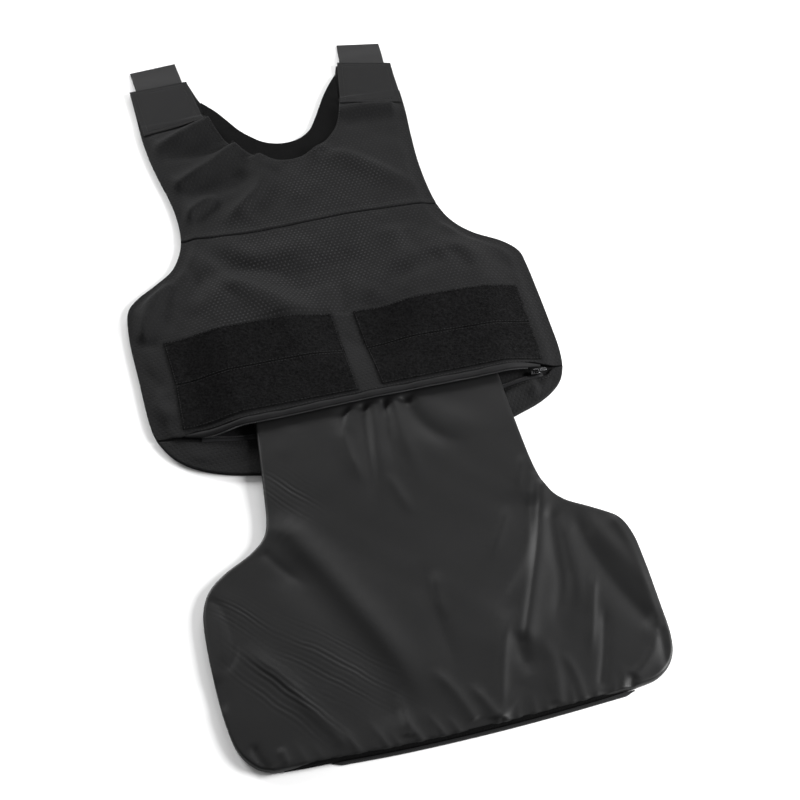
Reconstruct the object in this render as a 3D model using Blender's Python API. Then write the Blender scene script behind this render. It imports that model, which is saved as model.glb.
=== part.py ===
"""Front carrier of a bulletproof vest lying flat, its soft panel pulled out of the zip.

Garment frame, in millimetres: x from the carrier's centre line, y up the body from the
zip towards the neck, z up from the surface that it lies on.  The finished objects are in
metres, with the origin under the middle of the footprint.
"""
import math

import bmesh
import bpy
import numpy as np
from mathutils import Vector
from mathutils.geometry import delaunay_2d_cdt

MM = 0.001

# Driving dimensions, mm
GAP = 0.3
BACK_CLOTH = 2.4
FRONT_CLOTH = 2.2
HEM_CLOTH = 2.0
FACING_CLOTH = 1.6
TAB_CLOTH = 2.0
ELASTIC = 1.8
LOOP_PILE = 1.9
TAPE = 0.6
PANEL_THICK = 8.0
PANEL_ROUND = 2.2
STRAP_TOP_Y = 520.0
PANEL_BOTTOM_Y = -343.6
CENTRE_Y = 0.5 * (STRAP_TOP_Y + PANEL_BOTTOM_Y)

# Drape of the front cloth, mm
COVER = 0.6
FALL_UPPER = 34.0
FALL_LOOPS = 48.0
FALL_START = 4.0
LOOPS_TOP_Y = 113.0
RIM_FADE = 16.0
LOFT = 1.0
NECK_LIFT = 2.2
TAB_FADE = 9.0
STRAP_LANDED = 18.0

# The panel passes over the lower lip and comes down to the surface beyond the hem, mm
PANEL_INSIDE_Z = 2.8
PANEL_LIP_Z = 5.4
PANEL_RISE = (40.0, 0.0)
PANEL_DROP = (-62.0, -128.0)

# Mesh spacings, mm
EDGE_STEP = 10.0
ZIP_STEP = 14.0
YOKE_STEP = 11.0
BODY_STEP = 14.0
PANEL_STEP = 15.0

# Outlines: x and y of the points that the curves pass through, mm
LEFT_SIDE = [
    (-148, 481), (-147, 445), (-146, 405), (-143, 372), (-138, 340), (-132, 308), (-129, 278),
    (-130, 249), (-135, 229), (-146, 209), (-165, 194), (-184, 181), (-195, 168), (-198.5, 150),
    (-199.5, 120), (-198, 81), (-197, 45), (-195, 20), (-190, 2), (-178, -18), (-160, -33),
    (-136, -44), (-107, -52),
]
HEM_MIDDLE = [(-107, -52), (-60, -57), (0, -59), (60, -57), (107, -52), (133, -46)]
RIGHT_SIDE = [
    (133, -46), (161, -36), (181, -23), (192, -7), (197, 18), (198.5, 55), (199.2, 95), (199.2, 130),
    (197, 150), (184, 167), (160, 185), (144, 205), (135, 230), (132, 262), (132, 300),
    (135, 340), (139, 380), (141, 420), (142, 457),
]
BACK_NECK = [
    (82, 470), (77, 455), (69, 444), (60, 430), (51, 413), (41, 393), (31, 376), (18, 366),
    (4, 363), (-10, 365), (-22, 371), (-33, 382), (-43, 395), (-52, 412), (-62, 430),
    (-75, 448), (-84, 483),
]
FRONT_NECK = [
    (71, 405), (66, 386), (57, 366), (43, 350), (26, 338), (8, 332), (-9, 333), (-25, 339),
    (-39, 351), (-53, 368), (-62, 384), (-69, 400), (-72, 409),
]
YOKE_SEAM = [(-130, 245), (-81, 239), (-30, 238), (30, 240), (80, 238), (134, 234)]
MOUTH = [
    (-196, 10), (-178, 7.5), (-162, 3.5), (-140, 0.5), (-110, -0.5), (-60, -0.5), (0, 0.5),
    (60, 0), (110, -0.5), (138, 0.0), (155, 1.0), (168, 1.0), (182, -1.5), (194, -4),
]
HEM_TOP = [
    (-193, 6), (-178, 3), (-160, -3), (-140, -7), (-105, -13), (0, -16), (105, -16),
    (130, -15), (150, -12), (168, -10), (184, -8), (192, -8),
]
PANEL_LEFT = [
    (-106, 148), (-106, 100), (-105, 50), (-103, 0), (-107, -50), (-110, -80), (-113, -104),
    (-119, -121), (-134, -134.5), (-157, -147), (-173, -160), (-182, -178), (-185, -205),
    (-185, -245), (-183, -280), (-178, -308), (-167, -325), (-153, -333),
]
PANEL_FOOT = [(-153, -333), (-105, -335), (-50, -338), (15, -339), (75, -338), (146, -335)]
PANEL_RIGHT = [
    (146, -335), (168, -331), (184, -318), (191, -298), (193, -265), (194.5, -225), (194, -196),
    (187, -176), (168, -161), (147, -147), (136, -132), (131.5, -108), (130, -75), (129.5, -30),
    (131, 25), (136, 85), (140, 146),
]
PANEL_TOP = [
    (140, 146), (132, 155), (112, 157), (96, 147), (88, 98), (81, 73), (70, 50), (56, 34),
    (36, 24), (13, 20), (-10, 25), (-29, 38), (-43, 55), (-52, 77), (-58, 103), (-62, 147),
    (-78, 157), (-98, 156), (-106, 148),
]
FLANGE = {"x0": -108.0, "x1": 150.0, "inner": 0.5, "outer": -4.6, "z0": 0.4, "z1": 1.7}

# Corners of the flat sewn pieces, mm, anticlockwise from the lower left
TABS = {
    "left": [(-143.5, 407), (-76, 415), (-84.5, 483), (-148, 481)],
    "right": [(72, 404), (137.5, 391), (142, 457), (84, 472)],
}
STRAPS = {
    "left": [(-138, 427), (-85, 429), (-92, 520), (-143, 516)],
    "right": [(81, 420), (132, 417), (138, 496.5), (91, 505.5)],
}
LOOPS = {
    "loop_left_upper": [(-165.5, 62.6), (-3.5, 60.3), (-4.5, 112), (-168.5, 116)],
    "loop_left_lower": [(-167, 10), (-2.5, 7), (-3.5, 59.7), (-165.5, 62.0)],
    "loop_right_upper": [(17.8, 59.8), (178, 53.5), (179, 101.5), (16, 109)],
    "loop_right_lower": [(20, 8), (176, 6.5), (178, 52.9), (17.8, 59.2)],
}

# Folds, mm: ends, sideways bow, half width left and right of the line, rise
FOLD_COLUMNS = ("x0", "y0", "x1", "y1", "bow", "left", "right", "rise")
YOKE_FOLDS = [
    (-141, 379, -66, 409, 0, 7, 9, 3.6),
    (-128, 372, -58, 362, 3, 7, 7, -1.8),
    (-138, 320, -52, 368, -8, 12, 8, 3.4),
    (-130, 300, -70, 318, 0, 8, 8, -1.4),
    (-131, 270, -24, 352, -22, 9, 10, 2.8),
    (66, 398, 138, 388, -3, 6, 9, 3.2),
    (30, 342, 118, 268, 9, 5, 12, 2.4),
    (48, 336, 112, 322, 0, 8, 12, -1.4),
    (-20, 318, 10, 262, 0, 18, 18, 1.2),
]
BODY_FOLDS = [
    (-134, 243, -50, 160, -10, 12, 12, 3.2),
    (-112, 232, 26, 204, -38, 14, 10, -2.2),
    (-62, 216, 26, 230, 0, 12, 14, 2.0),
    (-128, 226, -124, 165, 0, 6, 6, -1.8),
    (-160, 184, -192, 124, 6, 9, 12, 3.0),
    (-190, 92, -172, 52, 0, 8, 8, -1.6),
    (64, 205, 130, 120, 0, 20, 20, 1.4),
]
HEM_FOLDS = [
    (134, -34, 180, -18, 3, 6, 8, 2.4),
    (-166, -22, -116, -20, 0, 12, 8, 0.8),
]
PANEL_FOLDS = [
    (-108, -116, -18, -294, 6, 15, 9, 5.0),
    (-105, -165, -66, -262, 0, 22, 22, -1.6),
    (-11, -6, -22, -84, -6, 7, 7, 3.0),
    (8, -6, -16, -134, 4, 8, 10, 2.6),
    (22, -6, 30, -112, -3, 8, 8, 2.8),
    (26, -10, 92, -60, 0, 12, 14, 1.6),
    (133, -122, 68, -286, 4, 7, 10, 4.6),
    (108, -140, 60, -232, 0, 10, 14, -2.4),
    (144, -152, 128, -250, 0, 10, 10, -2.4),
    (152, -210, 120, -300, 0, 7, 7, 2.2),
    (150, -160, 180, -262, 10, 14, 10, -2.6),
    (181, -176, 180, -280, 8, 6, 6, 1.6),
    (11, -170, 6, -300, 3, 9, 9, 1.8),
    (-168, -226, -100, -300, 0, 14, 14, 1.6),
]

# Zip slider and pull in the slider's own frame, mm: x along the zip, z up from its base
SLIDER_AT = (165.5, -4.6, 5.1)
SLIDER_TURN = math.radians(-3.0)
SLIDER = {"length": 9.0, "width": 6.6, "nose": 4.6, "height": 2.8}
CROWN = {"x0": -2.0, "x1": 2.4, "leg": 0.9, "width": 1.6, "height": 3.0, "bar": 1.0}
PULL = {"axis_x": 0.45, "axis_z": 3.85, "bar": 0.9, "reach": 10.4, "width": 4.0, "eye_end": 4.1,
        "eye_half": 1.25}

# Colours (linear), roughness and metallic value
FINISHES = {
    "carrier_knit": ((0.028, 0.028, 0.029), 0.75, 0.0),
    "facing_cloth": ((0.016, 0.016, 0.017), 0.60, 0.0),
    "tab_cloth": ((0.038, 0.038, 0.039), 0.65, 0.0),
    "elastic": ((0.065, 0.065, 0.066), 0.80, 0.0),
    "loop_pile": ((0.010, 0.010, 0.010), 0.95, 0.0),
    "zip_nylon": ((0.012, 0.012, 0.012), 0.45, 0.0),
    "zip_metal": ((0.55, 0.55, 0.56), 0.30, 1.0),
    "panel_cover": ((0.030, 0.030, 0.031), 0.42, 0.0),
}


def clear_scene():
    """Remove whatever objects the scene holds."""
    for item in list(bpy.data.objects):
        bpy.data.objects.remove(item, do_unlink=True)


def finish(name):
    """The material of that name, made once."""
    if name in bpy.data.materials:
        return bpy.data.materials[name]
    colour, roughness, metallic = FINISHES[name]
    material = bpy.data.materials.new(name)
    material.use_nodes = True
    shader = material.node_tree.nodes["Principled BSDF"]
    shader.inputs["Base Color"].default_value = (*colour, 1.0)
    shader.inputs["Roughness"].default_value = roughness
    shader.inputs["Metallic"].default_value = metallic
    return material


def smoothstep(t):
    """0 to 1 with level ends."""
    t = np.clip(t, 0.0, 1.0)
    return t * t * (3.0 - 2.0 * t)


def curve_through(points, step=EDGE_STEP):
    """Smooth curve through the points, with a point about every step."""
    knots = np.array(points, float)
    knots = np.vstack([2 * knots[0] - knots[1], knots, 2 * knots[-1] - knots[-2]])
    path = []
    for p0, p1, p2, p3 in zip(knots, knots[1:], knots[2:], knots[3:]):
        count = max(1, round(float(np.linalg.norm(p2 - p1)) / step))
        for k in range(count):
            t = k / count
            path.append(0.5 * (2 * p1 + (p2 - p0) * t + (2 * p0 - 5 * p1 + 4 * p2 - p3) * t ** 2
                               + (3 * p1 - p0 - 3 * p2 + p3) * t ** 3))
    path.append(knots[-2])
    return np.array(path)


def stretch(path, y_low, y_high):
    """The part of a side path between two heights, ending exactly on them."""
    order = np.argsort(path[:, 1])
    side = path[order]
    keep = side[(side[:, 1] > y_low + 2.0) & (side[:, 1] < y_high - 2.0)]
    ends = [(np.interp(y, side[:, 1], side[:, 0]), y) for y in (y_low, y_high)]
    return np.vstack([ends[0], keep, ends[1]])


def straight_edges(corners, step=EDGE_STEP):
    """Closed outline with straight edges between the corners."""
    path = []
    ring = [np.array(c, float) for c in corners]
    for start, end in zip(ring, ring[1:] + ring[:1]):
        count = max(1, round(float(np.linalg.norm(end - start)) / step))
        path += [start + (end - start) * k / count for k in range(count)]
    return np.array(path)


def join(*paths):
    """One closed outline from paths that follow each other, without doubled points."""
    ring = []
    for path in paths:
        for point in path:
            if not ring or np.linalg.norm(point - ring[-1]) > 0.5:
                ring.append(np.array(point, float))
    if np.linalg.norm(ring[0] - ring[-1]) < 0.5:
        ring.pop()
    ring = np.array(ring)
    return ring if signed_area(ring) > 0 else ring[::-1]


def signed_area(ring):
    """Positive for an anticlockwise outline."""
    x, y = ring[:, 0], ring[:, 1]
    return 0.5 * float(np.sum(x * np.roll(y, -1) - y * np.roll(x, -1)))


def inset(ring, depth):
    """The outline moved inwards by depth, point by point."""
    ahead = np.roll(ring, -1, axis=0) - ring
    ahead /= np.linalg.norm(ahead, axis=1)[:, None]
    tangent = ahead + np.roll(ahead, 1, axis=0)
    tangent /= np.linalg.norm(tangent, axis=1)[:, None]
    return ring + depth * np.stack([-tangent[:, 1], tangent[:, 0]], 1)


def distance_to(path, x, y, closed=True):
    """Distance from each (x, y) to a path."""
    starts = path if closed else path[:-1]
    ends = np.roll(path, -1, axis=0) if closed else path[1:]
    nearest = np.full(np.shape(x), 1e9)
    for (ax, ay), (bx, by) in zip(starts, ends):
        dx, dy = bx - ax, by - ay
        t = np.clip(((x - ax) * dx + (y - ay) * dy) / (dx * dx + dy * dy), 0.0, 1.0)
        nearest = np.minimum(nearest, np.hypot(x - ax - t * dx, y - ay - t * dy))
    return nearest


def inside(ring, x, y):
    """Whether each (x, y) lies inside the outline."""
    hits = np.zeros(np.shape(x), bool)
    for (ax, ay), (bx, by) in zip(ring, np.roll(ring, -1, axis=0)):
        crosses = (ay > y) != (by > y)
        if ay != by:
            hits ^= crosses & (x < (bx - ax) * (y - ay) / (by - ay) + ax)
    return hits


def fold_heights(rows, x, y):
    """Sum of the folds: bowed ridges (or valleys) that fade out at both ends."""
    total = np.zeros(np.shape(x))
    for row in rows:
        f = dict(zip(FOLD_COLUMNS, row))
        dx, dy = f["x1"] - f["x0"], f["y1"] - f["y0"]
        length = math.hypot(dx, dy)
        along = ((x - f["x0"]) * dx + (y - f["y0"]) * dy) / length ** 2
        across = ((y - f["y0"]) * dx - (x - f["x0"]) * dy) / length
        across = across - 4.0 * f["bow"] * along * (1.0 - along)
        width = np.where(across > 0, f["left"], f["right"])
        fade = smoothstep(along / 0.25) * smoothstep((1.0 - along) / 0.25)
        total += f["rise"] * fade * np.exp(-(across / width) ** 2)
    return total


def grid_points(ring, lines, step):
    """Staggered grid points inside the outline, clear of it and of the inner lines."""
    margin = 0.55 * step
    rows = np.arange(-60, 60) * step * 0.866
    columns = np.arange(-40, 41) * step
    y, x = np.meshgrid(rows, columns, indexing="ij")
    x = x + 0.5 * step * (np.arange(len(rows)) % 2)[:, None]
    x, y = x.ravel(), y.ravel()
    keep = inside(ring, x, y)
    x, y = x[keep], y[keep]
    for line in [ring, *lines]:
        clear = distance_to(line, x, y) > margin
        x, y = x[clear], y[clear]
    return np.stack([x, y], 1)


def triangulate(ring, lines, step):
    """Points and anticlockwise triangles that fill the outline; its own points come first."""
    loops = [ring, *lines]
    edges = []
    first = 0
    for loop in loops:
        count = len(loop)
        edges += [(first + k, first + (k + 1) % count) for k in range(count)]
        first += count
    if step:
        loops = loops + [grid_points(ring, lines, step)]
    points = np.vstack(loops)
    flat = [Vector((float(px), float(py))) for px, py in points]
    made, _, faces, origin, _, _ = delaunay_2d_cdt(flat, edges, [], 1, 1e-5)
    source = [ids[0] for ids in origin]
    triangles = []
    for face in faces:
        a, b, c = (points[source[i]] for i in face)
        turn = (b[0] - a[0]) * (c[1] - a[1]) - (b[1] - a[1]) * (c[0] - a[0])
        if abs(turn) > 1e-4:
            ids = [source[i] for i in face]
            triangles.append(ids if turn > 0 else ids[::-1])
    return points, triangles


def add_object(name, vertices, faces, material, smooth_angle=40.0):
    """Object from vertices in garment millimetres."""
    placed = [((x) * MM, (y - CENTRE_Y) * MM, z * MM) for x, y, z in vertices]
    mesh = bpy.data.meshes.new(name)
    mesh.from_pydata(placed, [], faces)
    form = bmesh.new()
    form.from_mesh(mesh)
    bmesh.ops.recalc_face_normals(form, faces=form.faces)
    form.to_mesh(mesh)
    form.free()
    mesh.materials.append(finish(material))
    mesh.shade_smooth()
    mesh.set_sharp_from_angle(angle=math.radians(smooth_angle))
    item = bpy.data.objects.new(name, mesh)
    bpy.context.scene.collection.objects.link(item)
    return item


def sheet(name, ring, bottom, thickness, material, step=None, lines=(), rim=0.0):
    """Closed cloth sheet: bottom is a height function, and rim rounds its edge."""
    inner = inset(ring, rim) if rim else ring
    points, triangles = triangulate(inner, list(lines), step)
    count = len(points)
    low = np.broadcast_to(bottom(points[:, 0], points[:, 1]), (count,))
    thick = thickness(points[:, 0], points[:, 1]) if callable(thickness) else thickness
    high = low + thick
    vertices = [(px, py, pz) for (px, py), pz in zip(points, high)]
    vertices += [(px, py, pz) for (px, py), pz in zip(points, low)]
    faces = [tuple(t) for t in triangles]
    faces += [tuple(i + count for i in reversed(t)) for t in triangles]
    edge = len(ring)
    if rim:
        middle = 0.5 * (low[:edge] + high[:edge])
        vertices += [(px, py, pz) for (px, py), pz in zip(ring, middle)]
    for k in range(edge):
        nxt = (k + 1) % edge
        if rim:
            belt, belt_next = 2 * count + k, 2 * count + nxt
            faces += [(nxt, k, belt, belt_next), (belt_next, belt, k + count, nxt + count)]
        else:
            faces.append((nxt, k, k + count, nxt + count))
    used = sorted({i for face in faces for i in face})
    renumber = {old: new for new, old in enumerate(used)}
    faces = [tuple(renumber[i] for i in face) for face in faces]
    return add_object(name, [vertices[i] for i in used], faces, material)


def level(height):
    """A height function that is the same everywhere."""
    return lambda x, y: np.full(np.shape(x), float(height))


def panel_outline():
    """The whole ballistic panel, with the part that the carrier hides."""
    return join(curve_through(PANEL_LEFT), curve_through(PANEL_FOOT), curve_through(PANEL_RIGHT),
                curve_through(PANEL_TOP))


def carrier_outline():
    """The back cloth's outline, with the arm hollows and the neck hollow."""
    return join(curve_through(LEFT_SIDE), curve_through(HEM_MIDDLE), curve_through(RIGHT_SIDE),
                curve_through(BACK_NECK))


def panel_bottom(x, y):
    """Underside of the panel: level in the pocket, over the lip, then down to the surface."""
    rise = np.clip((PANEL_RISE[0] - y) / (PANEL_RISE[0] - PANEL_RISE[1]), 0.0, 1.0)
    drop = smoothstep((PANEL_DROP[0] - y) / (PANEL_DROP[0] - PANEL_DROP[1]))
    return (PANEL_INSIDE_Z + (PANEL_LIP_Z - PANEL_INSIDE_Z) * rise) * (1.0 - drop)


def front_bottom_of(folds):
    """Underside of the front cloth, draped over the hidden panel, with these folds."""
    panel = panel_outline()
    sides = [curve_through(LEFT_SIDE), curve_through(RIGHT_SIDE)]
    neck = curve_through(FRONT_NECK)
    tabs = [np.array(corners, float) for corners in TABS.values()]
    base = BACK_CLOTH + GAP

    def bottom(x, y):
        away = distance_to(panel, x, y)
        away = np.where(inside(panel, x, y), 0.0, np.maximum(away - FALL_START, 0.0))
        fall = FALL_LOOPS + (FALL_UPPER - FALL_LOOPS) * smoothstep((y - LOOPS_TOP_Y) / 30.0)
        covered = panel_bottom(x, np.maximum(y, 0.0)) + PANEL_THICK + COVER - base
        drape = covered * (1.0 - smoothstep(away / fall))
        rim = np.minimum(distance_to(sides[0], x, y, False), distance_to(sides[1], x, y, False))
        sewn = np.min([np.where(inside(tab, x, y), 0.0, distance_to(tab, x, y)) for tab in tabs], 0)
        fade = smoothstep(rim / RIM_FADE)
        lift = NECK_LIFT * (1.0 - smoothstep((distance_to(neck, x, y, False) - 13.0) / 26.0))
        soft = smoothstep(sewn / TAB_FADE) * (LOFT + fold_heights(folds, x, y))
        return base + np.maximum(fade * np.maximum(drape + soft, lift), lift)

    return bottom


def back_shell():
    """Rear cloth of the carrier, flat on the surface."""
    sheet("back_shell", carrier_outline(), level(0.0), BACK_CLOTH, "carrier_knit")


def neck_facing():
    """Smooth band inside the neckline, from the back edge to under the front edge."""
    outer = [(x, y - 1.2) for x, y in BACK_NECK[1:-1]]
    inner = [(x * 1.04, y - 11.0) for x, y in reversed(FRONT_NECK[1:-1])]
    ring = join(curve_through(outer), curve_through(inner))
    sheet("neck_facing", ring, level(BACK_CLOTH + GAP), FACING_CLOTH, "facing_cloth")


def yoke():
    """Front cloth from the yoke seam up to the shoulders."""
    left, right = curve_through(LEFT_SIDE), curve_through(RIGHT_SIDE)
    seam = curve_through(YOKE_SEAM)
    shoulder_left, shoulder_right = 421.0, 411.0
    up_right = stretch(right, seam[-1, 1], shoulder_right)
    down_left = stretch(left, seam[0, 1], shoulder_left)[::-1]
    neck = curve_through([(72, 412), *FRONT_NECK, (-74, 422)])
    ring = join(seam, up_right, neck, down_left)
    sheet("yoke", ring, front_bottom_of(YOKE_FOLDS), FRONT_CLOTH, "carrier_knit", YOKE_STEP)


def loop_ring(name):
    """Outline of one loop strip."""
    return straight_edges(LOOPS[name], BODY_STEP)


def front_body():
    """Front cloth from the yoke seam down to the zip's mouth."""
    left, right = curve_through(LEFT_SIDE), curve_through(RIGHT_SIDE)
    seam = curve_through([(x, y - GAP) for x, y in YOKE_SEAM])[::-1]
    mouth = curve_through([(x, y + 3.3) for x, y in MOUTH])
    down_left = stretch(left, mouth[0, 1], seam[-1, 1])[::-1]
    up_right = stretch(right, mouth[-1, 1], seam[0, 1])
    ring = join(mouth[1:-1], up_right, seam, down_left)
    lines = [loop_ring(name) for name in LOOPS]
    sheet("front_body", ring, front_bottom_of(BODY_FOLDS), FRONT_CLOTH, "carrier_knit",
          BODY_STEP, lines)


def loop_strips():
    """Four strips of loop pile that follow the front cloth."""
    front = front_bottom_of(BODY_FOLDS)
    for name in LOOPS:
        sheet(name, loop_ring(name), lambda x, y: front(x, y) + FRONT_CLOTH + GAP, LOOP_PILE,
              "loop_pile", BODY_STEP)


def hem_panel():
    """Front cloth below the zip, with the soft folds at its right end."""
    left, right = curve_through(LEFT_SIDE), curve_through(RIGHT_SIDE)
    top = curve_through(HEM_TOP)[::-1]
    low_left = left[left[:, 1] < top[-1, 1] - 3.0]
    low_right = right[right[:, 1] < top[0, 1] - 3.0]
    ring = join(low_left, curve_through(HEM_MIDDLE), low_right, top)
    sides = join(low_left, curve_through(HEM_MIDDLE), low_right)

    def bottom(x, y):
        fade = smoothstep((distance_to(sides, x, y, False) - 2.0) / 12.0)
        return BACK_CLOTH + GAP + fade * np.maximum(fold_heights(HEM_FOLDS, x, y), 0.0)

    sheet("hem_panel", ring, bottom, HEM_CLOTH, "carrier_knit", YOKE_STEP)


def swept_strip(name, path, section, heights, material, taper=None):
    """Solid swept along a plan path; section is (sideways, up) pairs, taper narrows its ends."""
    ahead = np.gradient(path, axis=0)
    ahead /= np.linalg.norm(ahead, axis=1)[:, None]
    side = np.stack([-ahead[:, 1], ahead[:, 0]], 1)
    taper = np.ones(len(path)) if taper is None else taper
    vertices = []
    for (px, py), (nx, ny), pz, w in zip(path, side, heights, taper):
        vertices += [(px + nx * s * w, py + ny * s * w, pz + u) for s, u in section]
    count = len(section)
    faces = []
    for k in range(len(path) - 1):
        for j in range(count):
            a, b = k * count + j, k * count + (j + 1) % count
            faces.append((a, a + count, b + count, b))
    faces.append(tuple(range(count)))
    faces.append(tuple(reversed(range(len(vertices) - count, len(vertices)))))
    return add_object(name, vertices, faces, material)


def mouth_path(offset, x_low, x_high):
    """The mouth's line moved across by offset, between two x values."""
    path = curve_through([(x, y + offset) for x, y in MOUTH], ZIP_STEP)
    return path[(path[:, 0] > x_low) & (path[:, 0] < x_high)]


def mouth_heights(path):
    """Underside of the front cloth along a path near the mouth, above the lower lip."""
    front = front_bottom_of(BODY_FOLDS)
    return np.maximum(front(path[:, 0], path[:, 1] + 3.3), BACK_CLOTH + HEM_CLOTH + 2 * GAP)


def zip_welt():
    """Rounded fold of cloth along the upper edge of the mouth."""
    path = mouth_path(0.0, -168.0, 174.0)
    half, height = 3.0, 3.4
    section = [(-half, 0.0), (half, 0.0)]
    section += [(half * math.cos(t), 1.0 + (height - 1.0) * math.sin(t))
                for t in np.linspace(0.0, math.pi, 5)]
    ends = np.minimum(path[:, 0] - path[0, 0], path[-1, 0] - path[:, 0])
    taper = 0.45 + 0.55 * smoothstep(ends / 18.0)
    swept_strip("zip_welt", path, section, mouth_heights(path), "carrier_knit", taper)


def zip_coils():
    """The two coils and the lower tape of the open zip."""
    upper = mouth_path(-4.1, -160.0, 158.0)
    section = [(-0.8, 0.2), (0.8, 0.2), (0.8, 1.4), (-0.8, 1.4)]
    swept_strip("zip_coil_upper", upper, section, mouth_heights(upper), "zip_nylon")
    lower = curve_through(HEM_TOP, ZIP_STEP)
    lower = lower[(lower[:, 0] > -164.0) & (lower[:, 0] < 184.0)]
    base = np.full(len(lower), BACK_CLOTH + GAP)
    section = [(0.3, 0.0), (6.0, 0.0), (6.0, TAPE), (0.3, TAPE)]
    swept_strip("zip_tape_lower", lower, section, base, "zip_nylon")
    lower = lower[lower[:, 0] < 158.0]
    base = np.full(len(lower), BACK_CLOTH + 2 * GAP + TAPE)
    section = [(4.0, 0.0), (5.6, 0.0), (5.6, 1.2), (4.0, 1.2)]
    swept_strip("zip_coil_lower", lower, section, base, "zip_nylon")


def shoulder_pieces():
    """Elastic straps and the tabs sewn over them."""
    front = front_bottom_of(YOKE_FOLDS)
    for side in ("left", "right"):
        root = TABS[side][3][1]
        landed = 0.5 * (STRAPS[side][2][1] + STRAPS[side][3][1]) - STRAP_LANDED

        def strap_bottom(x, y, root=root, landed=landed):
            return (BACK_CLOTH + GAP) * (1.0 - smoothstep((y - root - 2.0) / (landed - root - 2.0)))

        sheet("shoulder_strap_" + side, straight_edges(STRAPS[side]), strap_bottom, ELASTIC,
              "elastic", BODY_STEP)
        sheet("shoulder_tab_" + side, straight_edges(TABS[side]),
              lambda x, y: front(x, y) + FRONT_CLOTH + 4 * GAP, TAB_CLOTH, "tab_cloth",
              YOKE_STEP)


def ballistic_panel():
    """The pack in its cover, hidden in the pocket above the zip and bare below it."""
    def thickness(x, y):
        below = smoothstep((-4.0 - y) / 10.0)
        return PANEL_THICK + below * fold_heights(PANEL_FOLDS, x, y)

    sheet("ballistic_panel", panel_outline(), panel_bottom, thickness, "panel_cover",
          PANEL_STEP, rim=PANEL_ROUND)


def panel_seam_flange():
    """Thin sealed strip that stands out along the panel's lower edge."""
    f = FLANGE
    path = curve_through(PANEL_FOOT, ZIP_STEP)
    path = path[(path[:, 0] > f["x0"]) & (path[:, 0] < f["x1"])]
    section = [(f["outer"], 0.0), (f["inner"], 0.0), (f["inner"], f["z1"] - f["z0"]),
               (f["outer"], f["z1"] - f["z0"])]
    swept_strip("panel_seam_flange", path, section, np.full(len(path), f["z0"]), "panel_cover")


def placed_object(name, build, material, parent):
    """Object from a bmesh in slider millimetres, under the slider's empty."""
    form = bmesh.new()
    build(form)
    bmesh.ops.scale(form, vec=(MM, MM, MM), verts=form.verts)
    bmesh.ops.recalc_face_normals(form, faces=form.faces)
    mesh = bpy.data.meshes.new(name)
    form.to_mesh(mesh)
    form.free()
    mesh.materials.append(finish(material))
    mesh.shade_smooth()
    mesh.set_sharp_from_angle(angle=math.radians(35.0))
    item = bpy.data.objects.new(name, mesh)
    bpy.context.scene.collection.objects.link(item)
    item.parent = parent
    return item


def extrude_outline(form, outline, low, high):
    """Prism between two heights from an outline in x and y."""
    lower = [form.verts.new((u, v, low)) for u, v in outline]
    upper = [form.verts.new((u, v, high)) for u, v in outline]
    form.faces.new(lower[::-1])
    form.faces.new(upper)
    for k in range(len(outline)):
        nxt = (k + 1) % len(outline)
        form.faces.new((lower[k], lower[nxt], upper[nxt], upper[k]))


def slider_form(form):
    """Slider body: square at the left, narrowing to its nose at the right."""
    half, nose = 0.5 * SLIDER["length"], 0.5 * SLIDER["nose"]
    wide = 0.5 * SLIDER["width"]
    plan = [(-half, -wide), (1.0, -wide), (half, -nose), (half, nose), (1.0, wide), (-half, wide)]
    extrude_outline(form, plan, 0.0, SLIDER["height"])


def crown_form(form):
    """Arch over the slider that leaves a tunnel across the slide; its feet sink into the body."""
    c = CROWN
    low, peak = SLIDER["height"] - 0.5, SLIDER["height"] + c["height"]
    inner_left, inner_right, under = c["x0"] + c["leg"], c["x1"] - c["leg"], peak - c["bar"]
    side = [(c["x0"], low), (inner_left, low), (inner_left, under), (inner_right, under),
            (inner_right, low), (c["x1"], low), (c["x1"], peak - 0.5), (c["x1"] - 0.5, peak),
            (c["x0"] + 0.5, peak), (c["x0"], peak - 0.5)]
    extrude_outline(form, side, -0.5 * c["width"], 0.5 * c["width"])
    for vertex in form.verts:
        x, z, y = vertex.co
        vertex.co = (x, y, z)


def pull_form(form):
    """Flat pull whose bar lies on the hinge axis, at the origin."""
    half, wide, end = 0.5 * PULL["bar"], 0.5 * PULL["width"], PULL["reach"]
    outline = [(-half, -wide), (end - 1.4, -wide), (end, -wide + 1.2), (end, wide - 1.2),
               (end - 1.4, wide), (-half, wide)]
    extrude_outline(form, outline, -half, half)


def eye_form(form):
    """Cutter for the pull's eye, which the crown passes through."""
    half, side, end = 0.5 * PULL["bar"], PULL["eye_half"], PULL["eye_end"]
    outline = [(half, -side), (end, -side), (end, side), (half, side)]
    extrude_outline(form, outline, -2.0 * half, 2.0 * half)


def combine(item, other, operation):
    """Boolean on the item with another object, which is then only a guide."""
    other.hide_render = True
    other.display_type = "WIRE"
    change = item.modifiers.new(operation.lower(), "BOOLEAN")
    change.operation = operation
    change.solver = "EXACT"
    change.object = other


def zip_slider_and_pull():
    """Slider fixed on the zip, and the pull hinged in its crown."""
    x, y, z = SLIDER_AT
    frame = bpy.data.objects.new("slider_frame", None)
    bpy.context.scene.collection.objects.link(frame)
    frame.location = (x * MM, (y - CENTRE_Y) * MM, z * MM)
    frame.rotation_euler = (0.0, 0.0, SLIDER_TURN)
    slider = placed_object("zip_slider", slider_form, "zip_metal", frame)
    crown = placed_object("zip_slider_crown", crown_form, "zip_metal", frame)
    combine(slider, crown, "UNION")
    pull = placed_object("zip_pull", pull_form, "zip_metal", frame)
    eye = placed_object("zip_pull_eye", eye_form, "zip_metal", frame)
    combine(pull, eye, "DIFFERENCE")
    for item in (pull, eye):
        item.location = (PULL["axis_x"] * MM, 0.0, PULL["axis_z"] * MM)


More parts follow.
